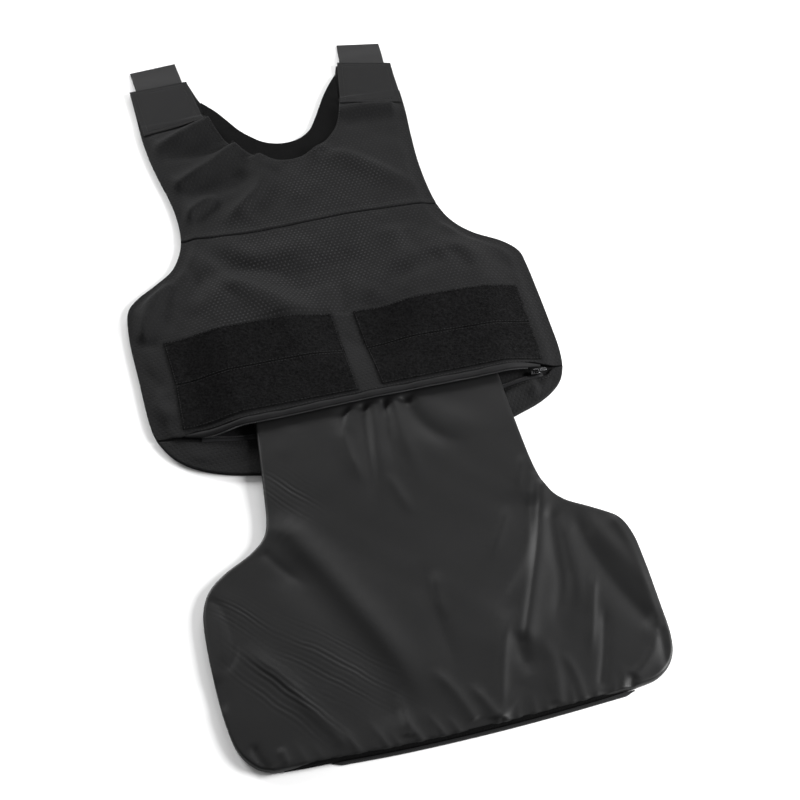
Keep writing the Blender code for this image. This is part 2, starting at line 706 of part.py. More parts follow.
def main():
    """Build every piece."""
    clear_scene()
    back_shell()
    neck_facing()
    yoke()
    front_body()
    loop_strips()
    hem_panel()
    zip_welt()
    zip_coils()
    shoulder_pieces()
    ballistic_panel()
    panel_seam_flange()
    zip_slider_and_pull()


main()
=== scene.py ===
"""Dressed model of the front carrier of a bulletproof vest, its soft panel pulled out of the zip.

Sizes in the tables are millimetres in the garment's own frame: x from the carrier's centre
line, y up the body from the zip, z up from the surface it lies on.
"""
import math

import bmesh
import bpy
import numpy as np
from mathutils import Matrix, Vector
from mathutils.geometry import delaunay_2d_cdt


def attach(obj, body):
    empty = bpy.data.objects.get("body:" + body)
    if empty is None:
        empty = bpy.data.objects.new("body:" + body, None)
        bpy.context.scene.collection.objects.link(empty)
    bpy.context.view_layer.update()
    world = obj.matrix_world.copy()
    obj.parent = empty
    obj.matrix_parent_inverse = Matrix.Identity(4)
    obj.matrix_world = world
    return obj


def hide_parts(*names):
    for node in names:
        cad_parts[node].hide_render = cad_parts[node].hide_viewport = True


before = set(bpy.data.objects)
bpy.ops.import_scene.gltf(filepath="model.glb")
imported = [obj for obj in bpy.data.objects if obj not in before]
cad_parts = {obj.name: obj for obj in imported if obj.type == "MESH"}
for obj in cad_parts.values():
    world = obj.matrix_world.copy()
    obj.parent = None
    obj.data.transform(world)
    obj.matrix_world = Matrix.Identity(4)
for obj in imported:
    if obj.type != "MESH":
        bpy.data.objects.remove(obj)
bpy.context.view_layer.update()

bl_info = {
    "name": "Bulletproof Vest",
    "version": (1, 0, 0),
    "blender": (4, 5, 0),
    "location": "View3D > Sidebar > Vest",
    "description": "Builds the dressed front carrier, its loop fields, zip and soft panel",
    "category": "Add Mesh",
}

MM = 0.001

# Driving dimensions, mm
GAP = 0.3
BACK_CLOTH = 2.4
FRONT_CLOTH = 2.2
HEM_CLOTH = 2.0
FACING_CLOTH = 1.6
ELASTIC = 1.8
LOOP_BASE = 1.0
TAPE = 0.6
PANEL_THICK = 8.0
CENTRE_Y = 88.2

# Heights, fades and margins of the draped front cloth, the panel, the hem and the tabs, mm
COVER = 0.6
FALL_UPPER = 34.0
FALL_LOOPS = 48.0
FALL_START = 4.0
FALL_BLEND = 30.0
LOOPS_TOP_Y = 113.0
RIM_FADE = 16.0
FOLD_FADE = 15.0
LOFT = 3.4
SOFTNESS = 0.8
NECK_LIFT = 2.2
NECK_BAND = (13.0, 26.0)
TAB_FADE = 7.0
TAB_TOP = 3.6
TAB_EDGE_DROP = 0.7
TAB_TOP_OF_YOKE = {"left": 421.0, "right": 411.0}
STRAP_LANDED = 4.0
PANEL_INSIDE_Z = 2.8
PANEL_LIP_Z = 5.4
PANEL_RISE = (40.0, 0.0)
PANEL_DROP = (-62.0, -128.0)
COVER_DROP = (-10.0, -170.0)
WELT_RISE = 3.3
SEAM_GAP = 1.0
SEAM_RIDGE = (0.9, 5.0)
LOOP_FADE = 8.0
LOOPS_FLATTEN = 0.8
LEAST_LIFT = 0.05
DEEPEST_VALLEY = -4.5
MOUTH_FADE = (-1.0, 8.0)
HEM_FADE = (1.0, 10.0)
HEM_SIDE_TOPS = (5.0, -5.0)
STRAP_FADE = 5.0
STRAP_FALL_START = 2.0
YOKE_FADE = 8.0
TAB_SEAMS = (1.6, 8.0)
TAB_EDGE_FADE = (0.5, 9.0)
TAB_LEAST = 0.9
SEAM_DENT = (0.1, 1.6)
BAND_BELOW_EDGE = 1.2
BAND_UNDER_FRONT = 11.0
BAND_WIDENED = 1.04
HEM_MARGIN = 1.5
RIM_SOFT = 0.1

# Threads, mm: height over the cloths, the tabs and the loop strips, and the strips' seam
THREAD_LIFT = 0.15
THREAD_OVER_TAB = 0.1
THREAD_OVER_LOOPS = 0.2
LOOP_SEAM = 1.8

# Pile: radius of the yarn in metres, arc of a loop in degrees, lean in radians, least size,
# and how far a face has to look upwards to carry loops
YARN = 0.00012
LOOP_ARC = (-25.0, 230.0)
LOOP_LEAN = 0.5
LEAST_LOOP = 0.55
LOOKS_UP = 0.4

# Spacing of points along helper curves, folds, seams and the zip, mm
COARSE_STEP = 6.0
FOLD_STEP = 9.0
SEAM_STEP = 3.0
ZIP_STEP = 2.0

# Meshing: joined points and margins in mm, shares of the grid's step and of a rim, a turn in
# radians, smallest steps, angles in degrees, and what is coarser or finer than the cloth's grid
SAME_POINT = 0.4
END_MARGIN = 1.0
CLEAR_OF_EDGE = 0.55
ROW_SPACING = 0.866
CORNER_REACH = 2.8
SHARP_TURN = 0.6
SNAP = 1e-6
LEAST_AREA = 1e-5
FAR_AWAY = 1e9
SMOOTH_ANGLE = 50.0
METAL_SMOOTH_ANGLE = 35.0
BACK_GRID = 1.6
TAB_GRID = 0.6

# Metal: joined points in metres, faces taken as level, width and least angle of soft edges
SAME_VERTEX = 1e-6
LEVEL_ANGLE = 2.0
BEVEL_WIDTH = 0.00022
BEVEL_ANGLE = 30.0

# Unevenness of cloth that lies loosely: height and wavelength, mm
UNEVEN_FRONT = (0.4, 60.0)
UNEVEN_BAND = (0.25, 40.0)
UNEVEN_HEM = (0.2, 36.0)
UNEVEN_PANEL = (0.22, 90.0)
UNEVEN_BINDING = (0.25, 14.0)
# The waves it is made of: heading in radians, share of the wavelength, phase
SWELLS = [(0.4, 1.0, 0.3), (1.7, 0.73, 2.1), (2.6, 0.57, 4.0), (3.9, 0.41, 5.2)]
SWELL_BEND = (1.3, 2.1)

# Zip and foot of the panel: x at the ends of each piece, least share of its section and the
# length over which it narrows, distances from the line, and sections, mm
WELT_ENDS = (-168.0, 174.0)
WELT_TAPER = (0.45, 18.0)
WELT_WAVES = [(0.06, 9.0), (0.04, 3.7)]
TAPE_ENDS = (-154.0, 174.0)
COIL_ENDS = (-150.0, 158.0)
UPPER_COIL_OFFSET = -4.1
LOWER_COIL_OFFSET = 4.8
COIL_RISE = 0.7
TURN_LENGTH = 0.7
COIL_TURN = (0.0021, 0.0013)
COIL_CORE = [(-0.5, 0.25), (0.5, 0.25), (0.5, 1.0), (-0.5, 1.0)]
TAPE_SECTION = [(0.3, 0.0), (6.0, 0.0), (6.0, TAPE), (0.3, TAPE)]
FLANGE_ENDS = (-108.0, 150.0)
FLANGE_TAPER = (0.3, 9.0)
FLANGE_RISE = 0.2
FLANGE_SECTION = [
    (-3.4, 0.0), (0.5, 0.0), (0.5, 0.9), (-2.0, 0.9), (-2.4, 1.5), (-3.1, 1.5), (-3.4, 1.1),
]
# The near-black binding along the panel's foot is in part a real binding and in part painted shade,
# standing in for the shade on the pack's side wall
BINDING_ENDS = (-146.0, 138.0)
BINDING_TAPER = (0.25, 22.0)
BINDING_RISE = 1.6
BINDING_SECTION = [
    (-0.7, 0.0), (0.6, 0.0), (0.6, 4.8), (1.9, 5.9), (1.4, 6.3), (0.1, 5.8), (-0.6, 4.4),
]

# Outlines: x and y of the points that the curves pass through, mm
LEFT_SIDE = [
    (-148, 481), (-147, 445), (-146, 405), (-143, 372), (-138, 340), (-132, 308), (-129, 278),
    (-130, 249), (-135, 229), (-146, 209), (-165, 194), (-184, 181), (-195, 168), (-198.5, 150),
    (-199.5, 120), (-198, 81), (-197, 45), (-195, 20), (-190, 2), (-178, -18), (-160, -33),
    (-136, -44), (-107, -52),
]
HEM_MIDDLE = [(-107, -52), (-60, -57), (0, -59), (60, -57), (107, -52), (133, -46)]
RIGHT_SIDE = [
    (133, -46), (161, -36), (181, -23), (192, -7), (197, 18), (198.5, 55), (199.2, 95),
    (199.2, 130), (197, 150), (184, 167), (160, 185), (144, 205), (135, 230), (132, 262),
    (132, 300), (135, 340), (139, 380), (141, 420), (142, 457),
]
BACK_NECK = [
    (82, 470), (77, 455), (69, 444), (60, 430), (51, 413), (41, 393), (31, 376), (18, 366),
    (4, 363), (-10, 365), (-22, 371), (-33, 382), (-43, 395), (-52, 412), (-62, 430),
    (-75, 448), (-84, 483),
]
FRONT_NECK = [
    (71, 405), (66, 386), (57, 366), (43, 350), (26, 338), (8, 332), (-9, 333), (-25, 339),
    (-39, 351), (-53, 368), (-62, 384), (-69, 400), (-72, 409),
]
NECK_CORNERS = {"left": (-74, 422), "right": (72, 412)}
YOKE_SEAM = [(-130, 245), (-81, 239), (-30, 238), (30, 240), (80, 238), (134, 234)]
MOUTH = [
    (-196, 10), (-178, 7.5), (-162, 3.5), (-140, 0.5), (-110, -0.5), (-60, -0.5), (0, 0.5),
    (60, 0), (110, -0.5), (138, 0.0), (155, 1.0), (168, 1.0), (182, -1.5), (194, -4),
]
HEM_TOP = [
    (-191.2, 5.6), (-178, 3), (-160, -3), (-140, -7), (-105, -13), (0, -16), (105, -16),
    (130, -15), (150, -12), (168, -10), (176, -8.8), (181, -4.8), (185, -2.6), (193.5, -3.0),
]
# x, and the rise of the front cloth's edge above the mouth's line there, mm
MOUTH_ENDS = [
    (-196, -2.8), (-172, -2.8), (-158, 3.3), (166, 3.3), (177, 0.8), (184, 0.8), (194, 2.3),
]
PANEL_LEFT = [
    (-106, 148), (-106, 100), (-105, 50), (-103, 0), (-107, -50), (-110, -80), (-113, -104),
    (-119, -121), (-134, -134.5), (-157, -147), (-173, -160), (-182, -178), (-185, -205),
    (-185, -245), (-183, -280), (-178, -308), (-167, -325), (-153, -333),
]
PANEL_FOOT = [(-153, -333), (-105, -335), (-50, -338), (15, -339), (75, -338), (146, -335)]
PANEL_RIGHT = [
    (146, -335), (168, -331), (184, -318), (191, -298), (193, -265), (194.5, -225), (194, -196),
    (187, -176), (168, -161), (147, -147), (136, -132), (131.5, -108), (130, -75), (129.5, -30),
    (131, 25), (136, 85), (140, 146),
]
PANEL_TOP = [
    (140, 146), (132, 155), (112, 157), (96, 147), (88, 98), (81, 73), (70, 50), (56, 34),
    (36, 24), (13, 20), (-10, 25), (-29, 38), (-43, 55), (-52, 77), (-58, 103), (-62, 147),
    (-78, 157), (-98, 156), (-106, 148),
]
TABS = {
    "left": [(-143.5, 407), (-76, 415), (-84.5, 483), (-148, 481)],
    "right": [(72, 404), (137.5, 391), (142, 457), (84, 472)],
}
STRAPS = {
    "left": [(-138, 427), (-85, 429), (-92, 520), (-143, 516)],
    "right": [(81, 420), (132, 417), (138, 496.5), (91, 505.5)],
}
LOOPS = {
    "loop_left_upper": [(-165.5, 62.6), (-3.5, 60.3), (-4.5, 112), (-168.5, 116)],
    "loop_left_lower": [(-167, 10), (-2.5, 7), (-3.5, 59.7), (-165.5, 62.0)],
    "loop_right_upper": [(17.8, 59.8), (178, 53.5), (179, 101.5), (16, 109)],
    "loop_right_lower": [(20, 8), (176, 6.5), (178, 52.9), (17.8, 59.2)],
}

# Folds: the line they follow, width to the left and right of the walk along it, fullness of
# the crest, share of the length over which they grow and fade, and rise (valleys negative), mm
FOLD_COLUMNS = ("line", "left", "right", "crest", "grow", "fade", "rise")
FOLD_REACH = 4.0
FOLD_EDGE = 0.4
FULLEST_CREST = 4.0
CREST_ROUND = 0.6
FRONT_FOLDS = [
    (((-62, 412), (-88, 401), (-112, 390), (-140, 382), (-160, 378)), 13, 8, 2.4, .05, .58, 9.4),
    (((-54, 371), (-82, 367), (-112, 366), (-142, 364)), 7, 14, 4, .03, .66, -5.2),
    (((-56, 380), (-78, 375)), 2.6, 3.4, 2, .05, .50, -3.0),
    (((-52, 372), (-72, 366), (-92, 364)), 4, 5, 2, .05, .50, -2.6),
    (((-50, 367), (-77, 345), (-100, 332), (-136, 317), (-152, 312)), 10, 9, 2.4, .04, .54, 9.0),
    (((-44, 327), (-66, 314), (-89, 311), (-113, 309), (-130, 288)), 10, 9, 4, .20, .60, -5.0),
    (((-31, 346), (-34, 309), (-43, 291), (-61, 275), (-86, 253)), 12, 8, 2.4, .05, .30, 7.6),
    (((-80, 299), (-107, 284), (-122, 272), (-138, 246)), 7, 8, 2.4, .25, .20, 6.6),
    (((-76, 290), (-100, 276), (-119, 254)), 7, 7, 3, .25, .50, -2.8),
    (((-24, 330), (-27, 301), (-40, 278), (-62, 256)), 12, 8, 4, .15, .30, -2.8),
    (((58, 390), (103, 389), (146, 380)), 10, 13, 3, .15, .15, 5.0),
    (((62, 372), (104, 372), (144, 362)), 12, 12, 4, .15, .20, -2.2),
    (((28, 334), (66, 334)), 6, 9, 3, .20, .50, -2.6),
    (((18, 346), (52, 327), (83, 299), (122, 256)), 8, 16, 3, .12, .30, 4.8),
    (((78, 354), (116, 344), (138, 330)), 15, 15, 4, .35, .20, -2.0),
    (((-20, 318), (10, 262)), 20, 20, 4, .35, .35, 2.0),
    (((-131, 246), (-105, 193), (-76, 156), (-52, 134), (-29, 124), (4, 134)),
     12, 20, 3, .34, .25, 6.0),
    (((-106, 228), (-87, 193), (-62, 172), (-21, 161), (18, 171), (52, 200)),
     18, 12, 4, .35, .30, -5.6),
    (((-104, 238), (-66, 206), (-34, 204), (8, 210)), 14, 12, 4, .20, .30, 3.2),
    (((-132, 222), (-125, 188), (-122, 152)), 6, 5, 3, .30, .45, -2.2),
    (((-119, 208), (-103, 168), (-82, 135)), 7, 7, 3, .40, .40, -2.2),
    (((16, 168), (12, 138), (8, 108)), 6, 8, 3, .15, .05, -3.2),
    (((82, 218), (77, 175), (56, 146), (28, 112)), 11, 14, 3, .15, .20, 4.2),
    (((122, 158), (93, 146), (60, 140)), 10, 11, 4, .25, .35, -3.2),
    (((92, 180), (132, 192), (160, 198)), 10, 10, 3, .25, .20, 3.2),
    (((-152, 200), (-172, 165), (-196, 120)), 10, 10, 3, .14, .15, 6.2),
    (((-144, 202), (-157, 165), (-168, 124)), 8, 8, 3, .30, .35, -2.8),
    (((-196, 123), (-180, 119), (-169, 110)), 7, 7, 3, .35, .45, -1.6),
    (((-200, 94), (-186, 76), (-174, 54)), 6, 8, 3, .35, .35, -2.4),
    (((-196, 48), (-184, 36), (-170, 24)), 10, 10, 3, .20, .30, 3.1),
    (((128, 164), (142, 122)), 7, 9, 3, .25, .35, -2.4),
]
HEM_FOLDS = [
    (((112, -34), (128, -26), (142, -21), (155, -19), (166, -19)), 6, 7, 2.4, .10, .12, 5.2),
    (((150, -30), (168, -25), (180, -14)), 5, 6, 2.4, .25, .30, 2.0),
    (((-176, -22), (-140, -20), (-108, -19)), 11, 9, 4, .30, .10, 1.4),
]
PANEL_FOLDS = [
    (((-8, 0), (-18, -19), (-27, -37)), 6, 4, 2, .02, .30, 1.2),
    (((-25, -25), (-27, -40), (-26, -59), (-21, -92)), 4, 7, 2, .20, .45, 1.5),
    (((-3, -2), (-9, -46), (-13, -79), (-21, -117)), 5, 6, 3, .05, .55, -1.3),
    (((8, -2), (5, -29), (0, -59), (-5, -92), (-17, -136)), 7, 6, 3, .04, .70, 1.4),
    (((18, -2), (11, -51), (9, -84)), 5, 5, 3, .05, .55, -1.2),
    (((28, -2), (25, -52), (28, -80), (25, -118)), 7, 6, 3, .04, .70, 1.5),
    (((0, -80), (7, -108), (14, -136)), 5, 5, 2, .35, .45, 0.9),
    (((36, -3), (43, -32), (59, -57), (86, -76)), 6, 9, 3, .05, .55, -1.6),
    (((46, -4), (70, -40), (108, -62)), 14, 12, 4, .05, .50, 0.8),
    (((-16, -1), (-33, -26)), 4, 6, 2, .05, .60, -1.3),
    (((-67, -10), (-90, -50)), 9, 9, 3, .30, .35, 0.4),
    (((18, 0), (15, -26)), 2.5, 2.5, 2, .05, .60, -1.4),
    (((32, -1), (44, -19)), 3, 3, 2, .05, .60, -1.5),
    (((-1, 0), (-3, -16)), 2.5, 2.5, 2, .05, .60, -1.2),
    (((-119, -108), (-98, -122), (-87, -143), (-74, -168), (-60, -200), (-48, -227), (-37, -256),
      (-28, -284), (-22, -312)), 15, 9, 3, .14, .30, 3.4),
    (((-115, -140), (-90, -180), (-73, -221), (-56, -259), (-49, -295), (-43, -324)),
     14, 18, 4, .15, .10, -1.7),
    (((-123, -134), (-110, -154), (-88, -182)), 4, 5, 2, .08, .50, -1.0),
    (((-178, -168), (-167, -178), (-163, -200), (-163, -223), (-176, -243)),
     3, 3, 2, .10, .15, -0.7),
    (((-172, -178), (-173, -206), (-174, -234)), 4, 4, 2, .25, .25, 0.5),
    (((-158, -218), (-141, -242), (-126, -264), (-114, -289), (-101, -311), (-90, -336)),
     8, 5, 2, .25, .12, 1.6),
    (((-43, -288), (-42, -316), (-43, -332)), 4, 4, 2, .50, .04, 1.3),
    (((5, -174), (8, -196), (8, -220), (8, -250), (10, -290)), 5, 10, 2, .30, .35, -1.2),
    (((17, -188), (12, -209), (13, -240)), 5, 6, 2, .30, .40, 1.1),
    (((-166, -306), (-162, -322), (-156, -333)), 3, 3, 2, .25, .10, -1.5),
    (((-145, -314), (-141, -332)), 3, 3, 2, .35, .20, 1.1),
    (((-181, -239), (-181, -258), (-180, -277)), 3, 3, 2, .30, .30, -0.8),
    (((136, -118), (121, -159), (110, -188), (98, -216), (86, -243), (74, -270), (66, -292)),
     10, 5, 2, .08, .15, 3.2),
    (((131, -112), (113, -160), (103, -192)), 3, 3, 2, .10, .45, 0.9),
    (((122, -134), (105, -171), (88, -198), (66, -223), (50, -252)), 8, 18, 4, .12, .35, -1.9),
    (((74, -238), (58, -262), (45, -296), (32, -337)), 5, 8, 2, .30, .02, 1.8),
    (((71, -262), (66, -290), (67, -308)), 6, 6, 3, .30, .40, -1.8),
    (((126, -92), (114, -118), (109, -136)), 4, 4, 2, .30, .45, 0.9),
    (((98, -140), (83, -165), (65, -194)), 5, 4, 2, .25, .45, 0.9),
    (((132, -148), (124, -198), (119, -228), (106, -260), (102, -288)), 7, 7, 3, .12, .30, -1.9),
    (((140, -156), (136, -189), (132, -225), (125, -266)), 9, 8, 3, .25, .35, 1.9),
    (((150, -158), (152, -199), (159, -230), (168, -258), (182, -290)), 8, 9, 3, .20, .12, -2.5),
    (((160, -160), (167, -190), (178, -222), (185, -256)), 8, 9, 3, .30, .30, 1.7),
    (((151, -218), (137, -254), (124, -288), (116, -306)), 3.5, 3.5, 2, .25, .35, 1.3),
    (((147, -256), (135, -291), (124, -317), (116, -333)), 3.5, 3.5, 2, .25, .12, -1.3),
    (((181, -171), (187, -203), (187, -238), (185, -271), (184, -294)), 4, 5, 2, .10, .15, 1.6),
    (((184, -286), (180, -312), (177, -328)), 4, 4, 2, .20, .10, -1.1),
    (((182, -286), (172, -306), (156, -321), (138, -330)), 6, 5, 2, .20, .20, 1.2),
    (((141, -338), (149, -323)), 3, 3, 2, .05, .40, -1.5),
    (((-12, -276), (2, -302), (12, -332)), 5, 5, 2, .35, .04, 1.3),
    (((85, -270), (88, -296), (81, -336)), 6, 6, 3, .35, .06, 1.4),
    (((98, -288), (102, -311), (102, -336)), 4, 4, 2, .35, .04, 1.0),
    (((14, -296), (22, -313), (31, -337)), 4, 4, 2, .45, .03, 1.3),
    (((58, -311), (33, -337)), 4, 5, 2, .55, .10, 0.9),
]
# Puckers along the panel's lower seam: x at the seam, lean, length up the panel, width, rise
PUCKER_COLUMNS = ("x", "lean", "length", "width", "rise")
PUCKER_CREST, PUCKER_GROW, PUCKER_FADE = 0.8, 0.02, 0.8
PANEL_PUCKERS = [
    (-126, -8, 26, 3.0, 0.6), (-112, -9, 20, 2.4, .4), (-100, 4, 16, 2.4, .3),
    (-84, -11, 30, 3.0, 1.0), (-71, 3, 13, 2.2, .5), (-61, -12, 32, 3.0, 1.0),
    (-52, -5, 16, 2.4, .6), (-34, -14, 36, 3.0, 1.1), (-24, 3, 13, 2.2, .5),
    (-15, -11, 28, 2.6, 0.9), (-3, -7, 20, 2.4, .7), (45, 6, 15, 2.4, .5), (60, 4, 22, 2.6, .6),
    (70, 4, 14, 2.4, .5), (92, 5, 20, 2.6, .7), (112, 8, 18, 2.4, .7), (127, 7, 16, 2.4, .6),
    (135, 9, 24, 2.6, .8),
]
# Fine wrinkles of the cover: centre, half length and half width, heading in degrees, pitch, depth
WRINKLE_COLUMNS = ("x", "y", "half_length", "half_width", "heading", "pitch", "depth")
WANDER_SCALE = 26.0
WANDER = 0.007
SLOW_BEAT = 1.7
PATCH_FALL = -1.2
COVER_WRINKLES = [
    (-134, -266, 46, 15, -53, 5.0, 0.26),
    (-86, -256, 48, 23, -43, 4.4, 0.13),
    (-90, -81, 28, 15, -50, 4.6, 0.14),
    (-152, -192, 24, 12, -46, 4.0, 0.13),
]

# Where the knit is stretched and its holes show: centre, radius, strength
STRETCH_COLUMNS = ("x", "y", "radius", "strength")
STRETCHED_ANYWHERE = 0.06
STRETCHED_KNIT = [
    (62, 302, 52, 0.9), (10, 290, 36, 0.5), (-60, 178, 70, 1.0), (30, 190, 70, 0.9),
    (120, 150, 50, 0.5), (-100, 140, 40, 0.6), (-60, 268, 40, 0.3), (176, 60, 40, 0.3),
]

# Nodes of the frame that are dressed as they are, in metal with softened edges
SLIDER_NODES = ("zip_slider", "zip_pull")

# Finishes that come from dye and lint alone, though the seam flange's lighter colour is partly
# painted light; a colour is given as such or by its property
TONE_COLUMNS = ("patch_size", "grain_size", "patches", "grain")
PLAIN_COLUMNS = ("colour", "roughness", "specular", "metallic", "tone", "bump")
PLAIN_FINISHES = {
    "loop_pile_detail": ("pile", 0.95, 0.04, 0.0, (0.012, 0.0022, 0.5, 2.6), 0.0006),
    # The sealed flange is lighter than the cover: partly the welded strip's own colour, partly
    # painted light on a strip that the panel shades
    "seam_flange_detail": (
        (0.022, 0.022, 0.0225), 0.4, 0.15, 0.0, (0.02, 0.0008, 0.2, 0.3), 0.00008),
    "zip_nylon_detail": (
        (0.018, 0.018, 0.019), 0.42, 0.3, 0.0, (0.01, 0.0006, 0.2, 0.4), 0.00008),
    "zip_metal_detail": (
        (0.10, 0.10, 0.104), 0.30, 0.5, 1.0, (0.004, 0.0005, 0.5, 0.3), 0.00004),
    "thread_detail": ("thread", 0.6, 0.2, 0.0, (0.01, 0.0004, 0.2, 0.5), 0.00005),
    "pale_floor": ((0.95, 0.95, 0.95), 0.9, 0.1, 0.0, (1.5, 0.01, 0.02, 0.01), None),
}
# Close smooth cloths with a fine weave
WOVEN_COLUMNS = ("colour", "roughness", "specular", "pitch", "grain")
WOVEN_FINISHES = {
    "facing_cloth_detail": ("facing", 0.7, 0.03, 0.0005, 0.5),
    "tab_cloth_detail": ("tab", 0.72, 0.08, 0.0006, 0.9),
    # Near-black binding at the panel's foot: partly its own colour, partly painted shade on the
    # pack's side wall
    "foot_binding_detail": ((0.0025, 0.0025, 0.0026), 0.8, 0.05, 0.0012, 1.2),
}
# Finishes whose roughness follows the fine part of the dye: swing and least roughness
VARIED_ROUGHNESS = {"panel_cover_detail": (0.10, 0.40), "zip_metal_detail": (0.3, 0.16)}

# Stage: where each light stands and its size in metres, with the property for its power
LIGHTS = {
    "top_light": ((1.1, 3.0, 1.6), 1.6, "top_power"),
    "left_light": ((-1.4, 2.6, 1.1), 1.2, "left_power"),
    "side_light": ((1.4, -0.5, 0.75), 0.8, "side_power"),
}
FLOOR_HALF = 6.0
FLOOR_Z = -0.0002
LOOKED_AT_X = 0.035
SENSOR = 36.0
LENS = 67.5


class VestSizes(bpy.types.PropertyGroup):
    """Sizes that shape the cloth, the stitching and the pile."""
    cloth_grid: bpy.props.FloatProperty(
        name="Cloth Grid", description="Spacing of the mesh on the carrier's cloth",
        default=0.0024, unit="LENGTH")
    cover_grid: bpy.props.FloatProperty(
        name="Cover Grid", description="Spacing of the mesh on the panel's cover",
        default=0.0018, unit="LENGTH")
    stitch_pitch: bpy.props.FloatProperty(
        name="Stitch Pitch", description="Distance from stitch to stitch",
        default=0.0030, unit="LENGTH")
    stitch_length: bpy.props.FloatProperty(
        name="Stitch Length", description="Length of one stitch", default=0.0022, unit="LENGTH")
    thread_width: bpy.props.FloatProperty(
        name="Thread Width", description="Width of the sewing thread", default=0.00055,
        unit="LENGTH")
    tooth_pitch: bpy.props.FloatProperty(
        name="Tooth Pitch", description="Distance between the turns of the zip's coil",
        default=0.0016, unit="LENGTH")
    pile_density: bpy.props.FloatProperty(
        name="Pile Density", description="Loops of pile on a square metre", default=520000.0)
    pile_height: bpy.props.FloatProperty(
        name="Pile Height", description="Height of one loop of pile", default=0.0010,
        unit="LENGTH")


class VestColours(bpy.types.PropertyGroup):
    """Colours of the cloths and trims."""
    knit: bpy.props.FloatVectorProperty(
        name="Carrier Knit", description="Colour of the perforated knit", subtype="COLOR",
        default=(0.0095, 0.0095, 0.0098))
    facing: bpy.props.FloatVectorProperty(
        name="Neck Facing", description="Colour of the smooth neck band", subtype="COLOR",
        default=(0.0026, 0.0026, 0.0027))
    tab: bpy.props.FloatVectorProperty(
        name="Shoulder Tab", description="Colour of the shoulder patches", subtype="COLOR",
        default=(0.0120, 0.0120, 0.0124))
    elastic: bpy.props.FloatVectorProperty(
        name="Elastic", description="Colour of the shoulder elastic", subtype="COLOR",
        default=(0.0260, 0.0260, 0.0266))
    pile: bpy.props.FloatVectorProperty(
        name="Loop Pile", description="Colour of the loop fields", subtype="COLOR",
        default=(0.0072, 0.0072, 0.0074))
    cover: bpy.props.FloatVectorProperty(
        name="Panel Cover", description="Colour of the coated cover", subtype="COLOR",
        default=(0.0075, 0.0075, 0.0077))
    thread: bpy.props.FloatVectorProperty(
        name="Thread", description="Colour of the sewing thread", subtype="COLOR",
        default=(0.0140, 0.0140, 0.0143))


class VestStage(bpy.types.PropertyGroup):
    """Floor, light and camera."""
    camera_distance: bpy.props.FloatProperty(
        name="Camera Distance", description="From the point looked at to the camera",
        default=1.4025, unit="LENGTH")
    camera_height: bpy.props.FloatProperty(
        name="Camera Elevation", description="Angle above the horizon",
        default=math.radians(53.0), subtype="ANGLE")
    camera_turn: bpy.props.FloatProperty(
        name="Camera Turn", description="Angle round the object from its lower edge",
        default=math.radians(-14.5), subtype="ANGLE")
    top_power: bpy.props.FloatProperty(
        name="Top Light", description="Power of the soft light above the shoulders",
        default=56.0, unit="POWER")
    left_power: bpy.props.FloatProperty(
        name="Left Light", description="Power of the soft light on the left", default=100.0,
        unit="POWER")
    side_power: bpy.props.FloatProperty(
        name="Side Light", description="Power of the soft light on the right", default=58.0,
        unit="POWER")
    dome_strength: bpy.props.FloatProperty(
        name="Dome", description="Strength of the even light from all round", default=0.25)


def smoothstep(t):
    """0 to 1 with level ends."""
    t = np.clip(t, 0.0, 1.0)
    return t * t * (3.0 - 2.0 * t)


def curve_through(points, step):
    """Smooth curve through the points, with a point about every step."""
    knots = np.array(points, float)
    knots = np.vstack([2 * knots[0] - knots[1], knots, 2 * knots[-1] - knots[-2]])
    path = []
    for p0, p1, p2, p3 in zip(knots, knots[1:], knots[2:], knots[3:]):
        count = max(1, round(float(np.linalg.norm(p2 - p1)) / step))
        for k in range(count):
            t = k / count
            path.append(0.5 * (2 * p1 + (p2 - p0) * t + (2 * p0 - 5 * p1 + 4 * p2 - p3) * t ** 2
                               + (3 * p1 - p0 - 3 * p2 + p3) * t ** 3))
    path.append(knots[-2])
    return np.array(path)


def stretch(path, y_low, y_high):
    """The part of a side path between two heights, ending exactly on them."""
    side = path[np.argsort(path[:, 1])]
    keep = side[(side[:, 1] > y_low + END_MARGIN) & (side[:, 1] < y_high - END_MARGIN)]
    ends = [(np.interp(y, side[:, 1], side[:, 0]), y) for y in (y_low, y_high)]
    return np.vstack([ends[0], keep, ends[1]])


def straight_edges(corners, step):
    """Closed outline with straight edges between the corners."""
    path = []
    ring = [np.array(c, float) for c in corners]
    for start, end in zip(ring, ring[1:] + ring[:1]):
        count = max(1, round(float(np.linalg.norm(end - start)) / step))
        path += [start + (end - start) * k / count for k in range(count)]
    return np.array(path)


def signed_area(ring):
    """Positive for an anticlockwise outline."""
    x, y = ring[:, 0], ring[:, 1]
    return 0.5 * float(np.sum(x * np.roll(y, -1) - y * np.roll(x, -1)))


def join(*paths):
    """One closed outline from paths that follow each other, without doubled points."""
    ring = []
    for path in paths:
        for point in path:
            if not ring or np.linalg.norm(point - ring[-1]) > SAME_POINT:
                ring.append(np.array(point, float))
    if np.linalg.norm(ring[0] - ring[-1]) < SAME_POINT:
        ring.pop()
    ring = np.array(ring)
    return ring if signed_area(ring) > 0 else ring[::-1]


def inset(ring, depth):
    """The outline moved inwards by depth, point by point."""
    ahead = np.roll(ring, -1, axis=0) - ring
    ahead /= np.linalg.norm(ahead, axis=1)[:, None]
    tangent = ahead + np.roll(ahead, 1, axis=0)
    tangent /= np.linalg.norm(tangent, axis=1)[:, None]
    return ring + depth * np.stack([-tangent[:, 1], tangent[:, 0]], 1)


